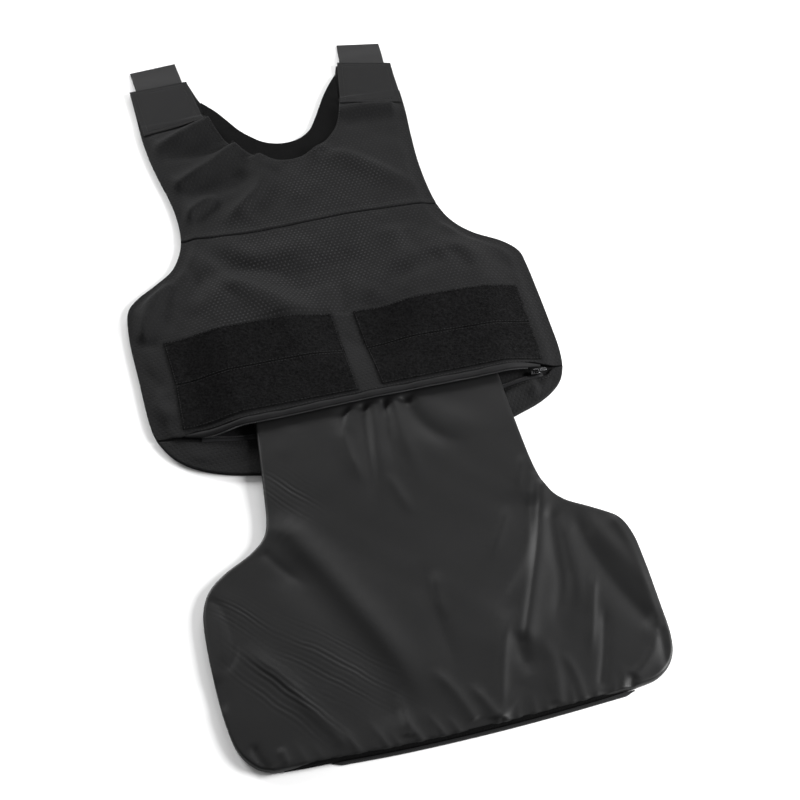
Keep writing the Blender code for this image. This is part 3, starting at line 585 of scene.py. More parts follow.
def clear_corners(ring, reach):
    """The outline without the points that crowd its sharp corners."""
    before = ring - np.roll(ring, 1, axis=0)
    after = np.roll(ring, -1, axis=0) - ring
    turn = before[:, 0] * after[:, 1] - before[:, 1] * after[:, 0]
    turn = np.abs(np.arctan2(turn, np.sum(before * after, axis=1)))
    corner = turn > SHARP_TURN
    if not corner.any():
        return ring
    away = np.linalg.norm(ring[:, None, :] - ring[corner][None, :, :], axis=2).min(axis=1)
    return ring[corner | (away > reach)]


def distance_to(path, x, y, closed=True):
    """Distance from each (x, y) to a path."""
    starts = path if closed else path[:-1]
    ends = np.roll(path, -1, axis=0) if closed else path[1:]
    nearest = np.full(np.shape(x), FAR_AWAY)
    for (ax, ay), (bx, by) in zip(starts, ends):
        dx, dy = bx - ax, by - ay
        t = np.clip(((x - ax) * dx + (y - ay) * dy) / (dx * dx + dy * dy), 0.0, 1.0)
        nearest = np.minimum(nearest, np.hypot(x - ax - t * dx, y - ay - t * dy))
    return nearest


def inside(ring, x, y):
    """Whether each (x, y) lies inside the outline."""
    hits = np.zeros(np.shape(x), bool)
    for (ax, ay), (bx, by) in zip(ring, np.roll(ring, -1, axis=0)):
        crosses = (ay > y) != (by > y)
        if ay != by:
            hits ^= crosses & (x < (bx - ax) * (y - ay) / (by - ay) + ax)
    return hits


def beyond(shapes, x, y):
    """Distance outside the nearest shape of a table of corners, zero inside them."""
    rings = [np.array(corners, float) for corners in shapes.values()]
    return np.min([np.where(inside(r, x, y), 0.0, distance_to(r, x, y)) for r in rings], 0)


def between(path, ends):
    """The points of a path with x between two values."""
    return path[(path[:, 0] > ends[0]) & (path[:, 0] < ends[1])]


def tapered(path, least, reach):
    """Share of the full section along a path, down to least over reach at both ends."""
    ends = np.minimum(path[:, 0] - path[0, 0], path[-1, 0] - path[:, 0])
    return least + (1.0 - least) * smoothstep(ends / reach)


def left_of(path):
    """Unit vectors square to a path, to the left of the walk along it."""
    ahead = np.gradient(path, axis=0)
    ahead /= np.linalg.norm(ahead, axis=1)[:, None]
    return np.stack([-ahead[:, 1], ahead[:, 0]], 1)


def along_and_across(path, x, y):
    """Share of the path walked, and signed distance (left positive), at each nearest point."""
    spans = np.linalg.norm(np.diff(path, axis=0), axis=1)
    walked = np.concatenate([[0.0], np.cumsum(spans)])
    nearest = np.full(np.shape(x), FAR_AWAY)
    along = np.zeros(np.shape(x))
    side = np.ones(np.shape(x))
    for k, span in enumerate(spans):
        (ax, ay), (bx, by) = path[k], path[k + 1]
        dx, dy = bx - ax, by - ay
        t = np.clip(((x - ax) * dx + (y - ay) * dy) / span ** 2, 0.0, 1.0)
        away = np.hypot(x - ax - t * dx, y - ay - t * dy)
        closer = away < nearest
        nearest = np.where(closer, away, nearest)
        along = np.where(closer, (walked[k] + t * span) / walked[-1], along)
        side = np.where(closer, np.sign(dx * (y - ay) - dy * (x - ax)), side)
    return along, nearest * side


def fold_heights(rows, x, y):
    """Sum of the folds: ridges and valleys along their lines."""
    total = np.zeros(np.shape(x))
    for row in rows:
        f = dict(zip(FOLD_COLUMNS, row))
        path = curve_through(f["line"], FOLD_STEP)
        reach = FOLD_REACH * max(f["left"], f["right"]) + f["crest"]
        low, high = path.min(0) - reach, path.max(0) + reach
        near = (x > low[0]) & (x < high[0]) & (y > low[1]) & (y < high[1])
        if not near.any():
            continue
        along, across = along_and_across(path, x[near], y[near])
        width = np.where(across > 0, f["left"], f["right"])
        fullness = 1.0 + min(f["crest"], FULLEST_CREST) / FULLEST_CREST
        shape = np.exp(-((np.hypot(across, CREST_ROUND) - CREST_ROUND) / width) ** fullness)
        shape *= smoothstep((reach - np.abs(across)) / (FOLD_EDGE * reach))
        shape *= smoothstep(along / f["grow"]) * smoothstep((1.0 - along) / f["fade"])
        total[near] += f["rise"] * shape
    return total


def stretched(x, y):
    """How far the knit is stretched, from zero to one."""
    total = np.full(np.shape(x), STRETCHED_ANYWHERE)
    for row in STRETCHED_KNIT:
        p = dict(zip(STRETCH_COLUMNS, row))
        total += p["strength"] * np.exp(-(np.hypot(x - p["x"], y - p["y"]) / p["radius"]) ** 2)
    return np.minimum(total, 1.0)


def pucker_rows():
    """The puckers of the panel's lower seam as fold rows."""
    foot = np.array(PANEL_FOOT, float)
    rows = []
    for row in PANEL_PUCKERS:
        p = dict(zip(PUCKER_COLUMNS, row))
        seam = float(np.interp(p["x"], foot[:, 0], foot[:, 1]))
        line = ((p["x"], seam), (p["x"] + p["lean"], seam + p["length"]))
        rows.append((line, p["width"], p["width"], PUCKER_CREST, PUCKER_GROW, PUCKER_FADE,
                     p["rise"]))
    return rows


def unevenness(x, y, size):
    """Slow rise and fall of cloth that lies loosely, about one high; size is its wavelength."""
    total = np.zeros(np.shape(x))
    for heading, share, phase in SWELLS:
        walk = (x * math.cos(heading) + y * math.sin(heading)) / (size * share)
        bend = SWELL_BEND[0] * np.sin(walk * SWELL_BEND[1] + phase)
        total += np.sin(2 * math.pi * walk + phase + bend)
    return total / len(SWELLS)


def grid_points(ring, step):
    """Staggered grid points inside the outline and clear of it."""
    low, high = ring.min(0), ring.max(0)
    rows = np.arange(low[1], high[1], step * ROW_SPACING)
    columns = np.arange(low[0] - step, high[0] + step, step)
    y, x = np.meshgrid(rows, columns, indexing="ij")
    x = x + 0.5 * step * (np.arange(len(rows)) % 2)[:, None]
    x, y = x.ravel(), y.ravel()
    keep = inside(ring, x, y)
    x, y = x[keep], y[keep]
    clear = distance_to(ring, x, y) > CLEAR_OF_EDGE * step
    return np.stack([x[clear], y[clear]], 1)


def triangulate(ring, step):
    """Points and anticlockwise triangles that fill the outline; its own points come first."""
    edges = [(k, (k + 1) % len(ring)) for k in range(len(ring))]
    points = np.vstack([ring, grid_points(ring, step)])
    flat = [Vector((float(px), float(py))) for px, py in points]
    made, _, faces, origin, _, _ = delaunay_2d_cdt(flat, edges, [], 1, SNAP)
    crossed = [tuple(round(v, 1) for v in made[k]) for k, ids in enumerate(origin) if not ids]
    if crossed:
        raise ValueError(f"an outline crosses itself at {crossed}")
    source = np.array([ids[0] for ids in origin])
    faces = source[np.array([f for f in faces if len(f) == 3])]
    a, b, c = (points[faces[:, k]] for k in range(3))
    turn = (b[:, 0] - a[:, 0]) * (c[:, 1] - a[:, 1]) - (b[:, 1] - a[:, 1]) * (c[:, 0] - a[:, 0])
    large = np.abs(turn) > LEAST_AREA
    faces, turn = faces[large], turn[large]
    faces[turn < 0] = faces[turn < 0][:, ::-1]
    return points, faces


def link_object(name, data):
    """New object in the scene, with that data."""
    item = bpy.data.objects.new(name, data)
    bpy.context.scene.collection.objects.link(item)
    return item


def clean_up(mesh, merge=False):
    """Turn the faces outwards, after joining doubled points and level faces if asked."""
    form = bmesh.new()
    form.from_mesh(mesh)
    if merge:
        bmesh.ops.remove_doubles(form, verts=form.verts, dist=SAME_VERTEX)
        bmesh.ops.dissolve_limit(form, angle_limit=math.radians(LEVEL_ANGLE), verts=form.verts,
                                 edges=form.edges)
    bmesh.ops.recalc_face_normals(form, faces=form.faces)
    form.to_mesh(mesh)
    form.free()


def mesh_object(name, vertices, faces, material, wear=None):
    """Object from vertices in garment millimetres, with its wear and stretch attributes."""
    placed = np.array(vertices, float)
    stretch_share = stretched(placed[:, 0], placed[:, 1])
    placed[:, 1] -= CENTRE_Y
    used = np.zeros(len(placed), bool)
    for face in faces:
        used[list(face)] = True
    renumber = np.cumsum(used) - 1
    mesh = bpy.data.meshes.new(name)
    mesh.from_pydata((placed[used] * MM).tolist(), [], [tuple(renumber[list(f)]) for f in faces])
    clean_up(mesh)
    if wear is not None:
        for label, values in (("edge_wear", wear), ("stretch", stretch_share)):
            layer = mesh.attributes.new(label, "FLOAT", "POINT")
            layer.data.foreach_set("value", np.array(values, float)[used])
    mesh.materials.append(material)
    mesh.shade_smooth()
    mesh.set_sharp_from_angle(angle=math.radians(SMOOTH_ANGLE))
    return link_object(name, mesh)


def cloth_piece(name, ring, bottom, thickness, material, step, rim=0.8, under_step=None,
                squareness=0.8, belts=5):
    """Closed cloth sheet with a rounded edge; bottom and thickness are height functions."""
    ring = clear_corners(ring, CORNER_REACH * rim)
    inner = inset(ring, rim)
    top, top_faces = triangulate(inner, step)
    under, under_faces = triangulate(inner, under_step or step)
    low_top = bottom(top[:, 0], top[:, 1])
    high = low_top + thickness(top[:, 0], top[:, 1])
    low = bottom(under[:, 0], under[:, 1])
    edge = len(ring)
    vertices = [np.column_stack([top, high]), np.column_stack([under, low])]
    wear = [np.zeros(len(top)), np.zeros(len(under))]
    wear[0][:edge] = 0.5
    rows = [np.arange(edge)]
    first = len(top) + len(under)
    middle, half = 0.5 * (high[:edge] + low[:edge]), 0.5 * (high[:edge] - low[:edge])
    for turn in np.linspace(0.0, math.pi, belts + 2)[1:-1]:
        out = inner + (ring - inner) * math.sin(turn) ** squareness
        vertices.append(np.column_stack([out, middle + half * math.cos(turn)]))
        wear.append(np.ones(edge))
        rows.append(first + np.arange(edge))
        first += edge
    rows.append(len(top) + np.arange(edge))
    faces = top_faces.tolist() + (under_faces[:, ::-1] + len(top)).tolist()
    for upper, lower in zip(rows, rows[1:]):
        upper_next, lower_next = np.roll(upper, -1), np.roll(lower, -1)
        faces += np.column_stack([upper_next, upper, lower, lower_next]).tolist()
    return mesh_object(name, np.vstack(vertices), faces, material, np.concatenate(wear))


def level(height):
    """A height function that is the same everywhere."""
    return lambda x, y: np.full(np.shape(x), float(height))


def swept_piece(name, path, section, heights, material, taper=None):
    """Solid swept along a plan path; section is (sideways, up) pairs, taper narrows its ends."""
    side = left_of(path)
    taper = np.ones(len(path)) if taper is None else taper
    section = np.array(section, float)
    vertices = []
    for (px, py), (nx, ny), pz, w in zip(path, side, heights, taper):
        vertices += [(px + nx * s * w, py + ny * s * w, pz + u * w) for s, u in section]
    count = len(section)
    faces = []
    for k in range(len(path) - 1):
        for j in range(count):
            a, b = k * count + j, k * count + (j + 1) % count
            faces.append((a, a + count, b + count, b))
    faces.append(tuple(range(count)))
    faces.append(tuple(reversed(range(len(vertices) - count, len(vertices)))))
    return mesh_object(name, vertices, faces, material)


def round_section(half, height, flat, count=12):
    """Cross-section with a level base and a rounded top."""
    turns = np.linspace(0.0, math.pi, count)
    arch = [(half * math.cos(t), flat + (height - flat) * math.sin(t)) for t in turns]
    return [(-half, 0.0), (half, 0.0), *arch]


def wire(tree, kind, inputs=None, **settings):
    """New node with its settings, its inputs linked from sockets or set to values."""
    node = tree.nodes.new(kind)
    for key, value in settings.items():
        setattr(node, key, value)
    for key, value in (inputs or {}).items():
        if isinstance(value, bpy.types.NodeSocket):
            tree.links.new(value, node.inputs[key])
        else:
            node.inputs[key].default_value = value
    return node


def maths(tree, operation, *values):
    """Output of a math node."""
    node = wire(tree, "ShaderNodeMath", dict(enumerate(values)), operation=operation)
    return node.outputs[0]


def shader_group(name, sockets_in, sockets_out):
    """Empty shader node group with float inputs and outputs, and its two end nodes."""
    tree = bpy.data.node_groups.new(name, "ShaderNodeTree")
    for label, default in sockets_in.items():
        socket = tree.interface.new_socket(label, in_out="INPUT", socket_type="NodeSocketFloat")
        socket.default_value = default
    for label in sockets_out:
        tree.interface.new_socket(label, in_out="OUTPUT", socket_type="NodeSocketFloat")
    return tree, tree.nodes.new("NodeGroupInput"), tree.nodes.new("NodeGroupOutput")


def object_place(tree):
    """The object's own coordinates."""
    return wire(tree, "ShaderNodeTexCoord").outputs["Object"]


def object_axes(tree):
    """The x, y and z outputs of the object's own coordinates."""
    return wire(tree, "ShaderNodeSeparateXYZ", {0: object_place(tree)}).outputs


def perforation_group():
    """Staggered rows of small round holes; puts out a mask that is one in a hole."""
    tree, ins, outs = shader_group(
        "staggered_perforations", {"Pitch": 0.004, "Radius": 0.0006, "Edge": 0.0005}, ["Mask"])
    x, y, _ = object_axes(tree)
    pitch = ins.outputs["Pitch"]
    row = maths(tree, "DIVIDE", y, maths(tree, "MULTIPLY", pitch, ROW_SPACING))
    whole = maths(tree, "ROUND", row)
    shift = maths(tree, "MULTIPLY", maths(tree, "FLOORED_MODULO", whole, 2.0), 0.5)
    column = maths(tree, "ADD", maths(tree, "DIVIDE", x, pitch), shift)
    du = maths(tree, "SUBTRACT", column, maths(tree, "ROUND", column))
    dv = maths(tree, "MULTIPLY", maths(tree, "SUBTRACT", row, whole), ROW_SPACING)
    away = maths(tree, "SQRT", maths(tree, "ADD", maths(tree, "POWER", du, 2.0),
                                     maths(tree, "POWER", dv, 2.0)))
    away = maths(tree, "MULTIPLY", away, pitch)
    rim = maths(tree, "ADD", ins.outputs["Radius"], ins.outputs["Edge"])
    mask = wire(tree, "ShaderNodeMapRange", {"Value": away, "From Min": ins.outputs["Radius"],
                                             "From Max": rim, "To Min": 1.0, "To Max": 0.0},
                interpolation_type="SMOOTHSTEP")
    tree.links.new(mask.outputs[0], outs.inputs["Mask"])
    return tree


def weave_group():
    """Over-and-under threads; puts out the height of the weave from zero to one."""
    tree, ins, outs = shader_group(
        "plain_weave", {"Across Pitch": 0.0006, "Along Pitch": 0.0006}, ["Height"])
    x, y, _ = object_axes(tree)
    threads = [maths(tree, "SINE", maths(tree, "DIVIDE", maths(tree, "MULTIPLY", axis, math.pi),
                                         ins.outputs[pitch]))
               for axis, pitch in ((x, "Across Pitch"), (y, "Along Pitch"))]
    height = maths(tree, "MULTIPLY_ADD", maths(tree, "MULTIPLY", *threads), 0.5, 0.5)
    tree.links.new(height, outs.inputs["Height"])
    return tree


def tone_group():
    """Slow and fine unevenness of dyed cloth; puts out a factor about one, and its fine part."""
    tree, ins, outs = shader_group(
        "dye_and_lint", {"Patch Size": 0.06, "Grain Size": 0.0012, "Patches": 0.1, "Grain": 0.2},
        ["Factor", "Fine"])
    place = object_place(tree)
    parts = []
    for size, amount, detail in (("Patch Size", "Patches", 2.0), ("Grain Size", "Grain", 3.0)):
        scale = maths(tree, "DIVIDE", 1.0, ins.outputs[size])
        noise = wire(tree, "ShaderNodeTexNoise", {"Vector": place, "Scale": scale,
                                                  "Detail": detail})
        centred = maths(tree, "SUBTRACT", noise.outputs[0], 0.5)
        parts.append(maths(tree, "MULTIPLY", centred, ins.outputs[amount]))
        fine = noise.outputs[0]
    total = maths(tree, "ADD", maths(tree, "ADD", parts[0], parts[1]), 1.0)
    tree.links.new(total, outs.inputs["Factor"])
    tree.links.new(fine, outs.inputs["Fine"])
    return tree


def wrinkle_group():
    """A patch of fine parallel wrinkles; puts out a height in metres."""
    tree, ins, outs = shader_group(
        "parallel_wrinkles", {"Centre X": 0.0, "Centre Y": 0.0, "Half Length": 0.04,
                              "Half Width": 0.02, "Heading": 0.0, "Pitch": 0.006,
                              "Depth": 0.0004}, ["Height"])
    x, y, _ = object_axes(tree)
    dx = maths(tree, "SUBTRACT", x, ins.outputs["Centre X"])
    dy = maths(tree, "SUBTRACT", y, ins.outputs["Centre Y"])
    cosine = maths(tree, "COSINE", ins.outputs["Heading"])
    sine = maths(tree, "SINE", ins.outputs["Heading"])
    along = maths(tree, "ADD", maths(tree, "MULTIPLY", dx, cosine),
                  maths(tree, "MULTIPLY", dy, sine))
    across = maths(tree, "SUBTRACT", maths(tree, "MULTIPLY", dy, cosine),
                   maths(tree, "MULTIPLY", dx, sine))
    bend = wire(tree, "ShaderNodeTexNoise", {"Vector": object_place(tree),
                                             "Scale": WANDER_SCALE, "Detail": 1.0})
    wander = maths(tree, "MULTIPLY", maths(tree, "SUBTRACT", bend.outputs[0], 0.5), WANDER)
    phase = maths(tree, "DIVIDE", maths(tree, "ADD", across, wander), ins.outputs["Pitch"])
    wave = maths(tree, "SINE", maths(tree, "MULTIPLY", phase, 2 * math.pi))
    slow = maths(tree, "SINE", maths(tree, "MULTIPLY", phase, SLOW_BEAT))
    wave = maths(tree, "MULTIPLY", wave, maths(tree, "MULTIPLY_ADD", slow, 0.4, 0.6))
    a = maths(tree, "POWER", maths(tree, "DIVIDE", along, ins.outputs["Half Length"]), 2.0)
    b = maths(tree, "POWER", maths(tree, "DIVIDE", across, ins.outputs["Half Width"]), 2.0)
    fall = maths(tree, "MULTIPLY", maths(tree, "ADD", a, b), PATCH_FALL)
    window = maths(tree, "EXPONENT", fall)
    height = maths(tree, "MULTIPLY", maths(tree, "MULTIPLY", wave, window), ins.outputs["Depth"])
    tree.links.new(height, outs.inputs["Height"])
    return tree


def crumple_group():
    """Shallow creases of a light coated cloth; puts out a height in metres."""
    tree, ins, outs = shader_group("light_crumple", {"Size": 0.05, "Depth": 0.0002}, ["Height"])
    scale = maths(tree, "DIVIDE", 1.0, ins.outputs["Size"])
    noise = wire(tree, "ShaderNodeTexNoise", {
        "Vector": object_place(tree), "Scale": scale, "Detail": 3.0, "Roughness": 0.45,
        "Distortion": 0.4}, noise_type="RIDGED_MULTIFRACTAL")
    height = maths(tree, "MULTIPLY", noise.outputs[0], ins.outputs["Depth"])
    tree.links.new(height, outs.inputs["Height"])
    return tree


def group_node(tree, maker, **values):
    """One of the shared shader groups placed in a material, made on first use."""
    name = maker.__name__
    shared = next((g for g in bpy.data.node_groups if g.get("maker") == name), None)
    if shared is None:
        shared = maker()
        shared["maker"] = name
    node = wire(tree, "ShaderNodeGroup", node_tree=shared)
    for key, value in values.items():
        node.inputs[key.replace("_", " ").title()].default_value = value
    return node


def new_material(name, roughness, specular=0.5, metallic=0.0):
    """Material with a Principled shader, its tree and that shader."""
    material = bpy.data.materials.new(name)
    material.use_nodes = True
    shader = material.node_tree.nodes["Principled BSDF"]
    shader.inputs["Roughness"].default_value = roughness
    shader.inputs["Specular IOR Level"].default_value = specular
    shader.inputs["Metallic"].default_value = metallic
    return material, material.node_tree, shader


def paint(tree, shader, colour, factor):
    """Base colour times a factor socket; the colour is given as such or by its property."""
    if isinstance(colour, str):
        colour = getattr(bpy.context.scene.vest_colours, colour)
    node = wire(tree, "ShaderNodeVectorMath", {0: tuple(colour), 3: factor}, operation="SCALE")
    tree.links.new(node.outputs[0], shader.inputs["Base Color"])


def vary_roughness(tree, shader, name, fine):
    """Roughness that follows the fine part of the dye."""
    swing, least = VARIED_ROUGHNESS[name]
    rough = maths(tree, "MULTIPLY_ADD", fine, swing, least)
    tree.links.new(rough, shader.inputs["Roughness"])


def add_bump(tree, shader, height, distance):
    """Bump from a height socket into the shader's normal."""
    bump = wire(tree, "ShaderNodeBump", {"Height": height, "Distance": distance,
                                         "Strength": 1.0})
    tree.links.new(bump.outputs[0], shader.inputs["Normal"])


def edge_wear(tree, amount):
    """Factor that is a little above one along the worn edge of a piece."""
    attribute = wire(tree, "ShaderNodeAttribute", attribute_name="edge_wear")
    return maths(tree, "MULTIPLY_ADD", attribute.outputs["Fac"], amount, 1.0)


def knit_material(name):
    """Perforated stretch knit of the carrier."""
    material, tree, shader = new_material(name, 0.72, specular=0.06)
    tone = group_node(tree, tone_group, patch_size=0.05, grain_size=0.0014, patches=0.25,
                      grain=0.9)
    holes = group_node(tree, perforation_group, pitch=0.0042, radius=0.00045, edge=0.0008)
    weave = group_node(tree, weave_group, across_pitch=0.0007, along_pitch=0.0005)
    stretch_share = wire(tree, "ShaderNodeAttribute", attribute_name="stretch").outputs["Fac"]
    shown = maths(tree, "MULTIPLY", holes.outputs[0], stretch_share)
    patchy = group_node(tree, tone_group, patch_size=0.02, grain_size=0.003, patches=1.8,
                        grain=1.6)
    shown = maths(tree, "MULTIPLY", shown, patchy.outputs["Factor"])
    # The holes are painted lighter than the knit around them, more where the knit is stretched
    specks = maths(tree, "MULTIPLY_ADD", shown, 1.5, 1.0)
    factor = maths(tree, "MULTIPLY", tone.outputs["Factor"], specks)
    paint(tree, shader, "knit", maths(tree, "MULTIPLY", factor, edge_wear(tree, 0.10)))
    height = maths(tree, "MULTIPLY_ADD", holes.outputs[0], -0.9,
                   maths(tree, "MULTIPLY", weave.outputs[0], 0.35))
    height = maths(tree, "MULTIPLY_ADD", tone.outputs["Fine"], 0.5, height)
    add_bump(tree, shader, height, 0.00022)
    return material


def elastic_material(name):
    """Woven elastic with fine ribs across it."""
    material, tree, shader = new_material(name, 0.8, specular=0.10)
    tone = group_node(tree, tone_group, patch_size=0.02, grain_size=0.0009, patches=0.12,
                      grain=0.3)
    ribs = group_node(tree, weave_group, across_pitch=0.0011, along_pitch=0.0009)
    factor = maths(tree, "MULTIPLY", tone.outputs["Factor"],
                   maths(tree, "MULTIPLY_ADD", ribs.outputs[0], 0.20, 0.90))
    paint(tree, shader, "elastic", maths(tree, "MULTIPLY", factor, edge_wear(tree, 0.12)))
    add_bump(tree, shader, ribs.outputs[0], 0.00030)
    return material


def cover_material(name):
    """Coated nylon cover of the panel, satin, with fine wrinkles."""
    material, tree, shader = new_material(name, 0.46, specular=0.20)
    tone = group_node(tree, tone_group, patch_size=0.09, grain_size=0.0010, patches=0.10,
                      grain=0.18)
    weave = group_node(tree, weave_group, across_pitch=0.00035, along_pitch=0.00035)
    factor = maths(tree, "MULTIPLY", tone.outputs["Factor"], edge_wear(tree, 0.10))
    paint(tree, shader, "cover", factor)
    vary_roughness(tree, shader, name, tone.outputs["Fine"])
    height = maths(tree, "MULTIPLY", weave.outputs[0], 0.00002)
    height = maths(tree, "MULTIPLY_ADD", tone.outputs["Fine"], 0.00003, height)
    for size, depth in ((0.055, 0.00030), (0.018, 0.00007)):
        creases = group_node(tree, crumple_group, size=size, depth=depth)
        height = maths(tree, "ADD", height, creases.outputs[0])
    for row in COVER_WRINKLES:
        w = dict(zip(WRINKLE_COLUMNS, row))
        patch = group_node(tree, wrinkle_group, centre_x=w["x"] * MM,
                           centre_y=(w["y"] - CENTRE_Y) * MM, half_length=w["half_length"] * MM,
                           half_width=w["half_width"] * MM, heading=math.radians(w["heading"]),
                           pitch=w["pitch"] * MM, depth=w["depth"] * MM)
        height = maths(tree, "ADD", height, patch.outputs[0])
    add_bump(tree, shader, height, 1.0)
    return material


def woven_material(name):
    """Close smooth cloth with a fine weave."""
    look = dict(zip(WOVEN_COLUMNS, WOVEN_FINISHES[name]))
    material, tree, shader = new_material(name, look["roughness"], look["specular"])
    tone = group_node(tree, tone_group, patch_size=0.03, grain_size=0.0008, patches=0.12,
                      grain=look["grain"])
    weave = group_node(tree, weave_group, across_pitch=look["pitch"], along_pitch=look["pitch"])
    factor = maths(tree, "MULTIPLY", tone.outputs["Factor"], edge_wear(tree, 0.15))
    paint(tree, shader, look["colour"], factor)
    height = maths(tree, "MULTIPLY_ADD", tone.outputs["Fine"], 0.6, weave.outputs[0])
    add_bump(tree, shader, height, 0.00010)
    return material


def plain_material(name):
    """Finish from dye and lint alone: pile, pressed cover (lighter, partly as painted light),
    nylon, metal, thread and floor.
    """
    look = dict(zip(PLAIN_COLUMNS, PLAIN_FINISHES[name]))
    material, tree, shader = new_material(name, look["roughness"], look["specular"],
                                          look["metallic"])
    tone = group_node(tree, tone_group, **dict(zip(TONE_COLUMNS, look["tone"])))
    paint(tree, shader, look["colour"], tone.outputs["Factor"])
    if name in VARIED_ROUGHNESS:
        vary_roughness(tree, shader, name, tone.outputs["Fine"])
    if look["bump"]:
        add_bump(tree, shader, tone.outputs["Fine"], look["bump"])
    return material


def finish(name):
    """The detailed material of that name, made once."""
    if name in bpy.data.materials:
        return bpy.data.materials[name]
    makers = {"carrier_knit_detail": knit_material, "elastic_detail": elastic_material,
              "panel_cover_detail": cover_material}
    makers.update(dict.fromkeys(WOVEN_FINISHES, woven_material))
    makers.update(dict.fromkeys(PLAIN_FINISHES, plain_material))
    return makers[name](name)


def geometry_tree(name, inputs):
    """Geometry node group with named inputs, and its two end nodes."""
    tree = bpy.data.node_groups.new(name, "GeometryNodeTree")
    tree.interface.new_socket("Geometry", in_out="INPUT", socket_type="NodeSocketGeometry")
    for label, kind in inputs.items():
        tree.interface.new_socket(label, in_out="INPUT", socket_type="NodeSocket" + kind)
    tree.interface.new_socket("Geometry", in_out="OUTPUT", socket_type="NodeSocketGeometry")
    return tree, tree.nodes.new("NodeGroupInput"), tree.nodes.new("NodeGroupOutput")


def end_tree(tree, ins, outs, instances):
    """Realize the instances, smooth them and give them their material."""
    real = wire(tree, "GeometryNodeRealizeInstances", {"Geometry": instances})
    soft = wire(tree, "GeometryNodeSetShadeSmooth", {"Geometry": real.outputs[0]})
    done = wire(tree, "GeometryNodeSetMaterial", {"Geometry": soft.outputs[0],
                                                  "Material": ins.outputs["Material"]})
    tree.links.new(done.outputs[0], outs.inputs["Geometry"])


def beads_tree():
    """Rounded beads set along a line: stitches of thread or turns of a zip's coil."""
    name = "beads_along_line"
    if name in bpy.data.node_groups:
        return bpy.data.node_groups[name]
    tree, ins, outs = geometry_tree(
        name, {"Pitch": "Float", "Length": "Float", "Width": "Float", "Height": "Float",
               "Material": "Material"})
    line = wire(tree, "GeometryNodeMeshToCurve", {"Mesh": ins.outputs["Geometry"]})
    even = wire(tree, "GeometryNodeResampleCurve", {"Curve": line.outputs[0],
                                                    "Length": ins.outputs["Pitch"]},
                mode="LENGTH")
    ball = wire(tree, "GeometryNodeMeshUVSphere", {"Segments": 6, "Rings": 4, "Radius": 0.5})
    size = wire(tree, "ShaderNodeCombineXYZ", {0: ins.outputs["Length"], 1: ins.outputs["Width"],
                                               2: ins.outputs["Height"]})
    bead = wire(tree, "GeometryNodeTransform", {"Geometry": ball.outputs[0],
                                                "Scale": size.outputs[0]})
    ahead = wire(tree, "GeometryNodeInputTangent")
    turn = wire(tree, "FunctionNodeAlignRotationToVector", {"Vector": ahead.outputs[0]},
                axis="X", pivot_axis="Z")
    set_out = wire(tree, "GeometryNodeInstanceOnPoints", {
        "Points": even.outputs[0], "Instance": bead.outputs[0], "Rotation": turn.outputs[0]})
    end_tree(tree, ins, outs, set_out.outputs[0])
    return tree


def pile_tree():
    """Small arched loops of yarn scattered over the upper side of a strip."""
    name = "loops_of_pile"
    if name in bpy.data.node_groups:
        return bpy.data.node_groups[name]
    tree, ins, outs = geometry_tree(
        name, {"Density": "Float", "Height": "Float", "Yarn": "Float", "Seed": "Int",
               "Material": "Material"})
    normal = wire(tree, "GeometryNodeInputNormal")
    upward = wire(tree, "ShaderNodeSeparateXYZ", {0: normal.outputs[0]})
    facing = wire(tree, "FunctionNodeCompare", {0: upward.outputs[2], 1: LOOKS_UP},
                  data_type="FLOAT", operation="GREATER_THAN")
    spread = wire(tree, "GeometryNodeDistributePointsOnFaces", {
        "Mesh": ins.outputs["Geometry"], "Selection": facing.outputs[0],
        "Density": ins.outputs["Density"], "Seed": ins.outputs["Seed"]})
    start, sweep = map(math.radians, LOOP_ARC)
    arch = wire(tree, "GeometryNodeCurveArc", {"Resolution": 5, "Radius": 1.0,
                                               "Start Angle": start, "Sweep Angle": sweep})
    size = wire(tree, "ShaderNodeCombineXYZ", {0: ins.outputs["Height"], 1: ins.outputs["Height"],
                                               2: ins.outputs["Height"]})
    sized = wire(tree, "GeometryNodeTransform", {"Geometry": arch.outputs[0],
                                                 "Rotation": (math.radians(90.0), 0.0, 0.0),
                                                 "Scale": size.outputs[0]})
    yarn = wire(tree, "GeometryNodeCurvePrimitiveCircle", {"Resolution": 3,
                                                           "Radius": ins.outputs["Yarn"]})
    loop = wire(tree, "GeometryNodeCurveToMesh", {"Curve": sized.outputs[0],
                                                  "Profile Curve": yarn.outputs[0],
                                                  "Fill Caps": True})
    turn = wire(tree, "FunctionNodeRandomValue", {
        0: (-LOOP_LEAN, -LOOP_LEAN, 0.0), 1: (LOOP_LEAN, LOOP_LEAN, 6.283),
        "Seed": ins.outputs["Seed"]}, data_type="FLOAT_VECTOR")
    share = wire(tree, "FunctionNodeRandomValue", {
        2: LEAST_LOOP, 3: 1.0, "Seed": ins.outputs["Seed"]}, data_type="FLOAT")
    set_out = wire(tree, "GeometryNodeInstanceOnPoints", {
        "Points": spread.outputs[0], "Instance": loop.outputs[0], "Rotation": turn.outputs[0],
        "Scale": share.outputs[1]})
    end_tree(tree, ins, outs, set_out.outputs[0])
    return tree


def grown(name, source, tree, **values):
    """Plain mesh object that a geometry node tree makes from the source object."""
    modifier = source.modifiers.new("grow", "NODES")
    modifier.node_group = tree
    for item in tree.interface.items_tree:
        key = item.name.lower()
        if item.in_out == "INPUT" and key in values:
            modifier[item.identifier] = values[key]
    bpy.context.view_layer.update()
    ready = source.evaluated_get(bpy.context.evaluated_depsgraph_get())
    mesh = bpy.data.meshes.new_from_object(ready)
    source.modifiers.remove(modifier)
    mesh.name = name
    return link_object(name, mesh)


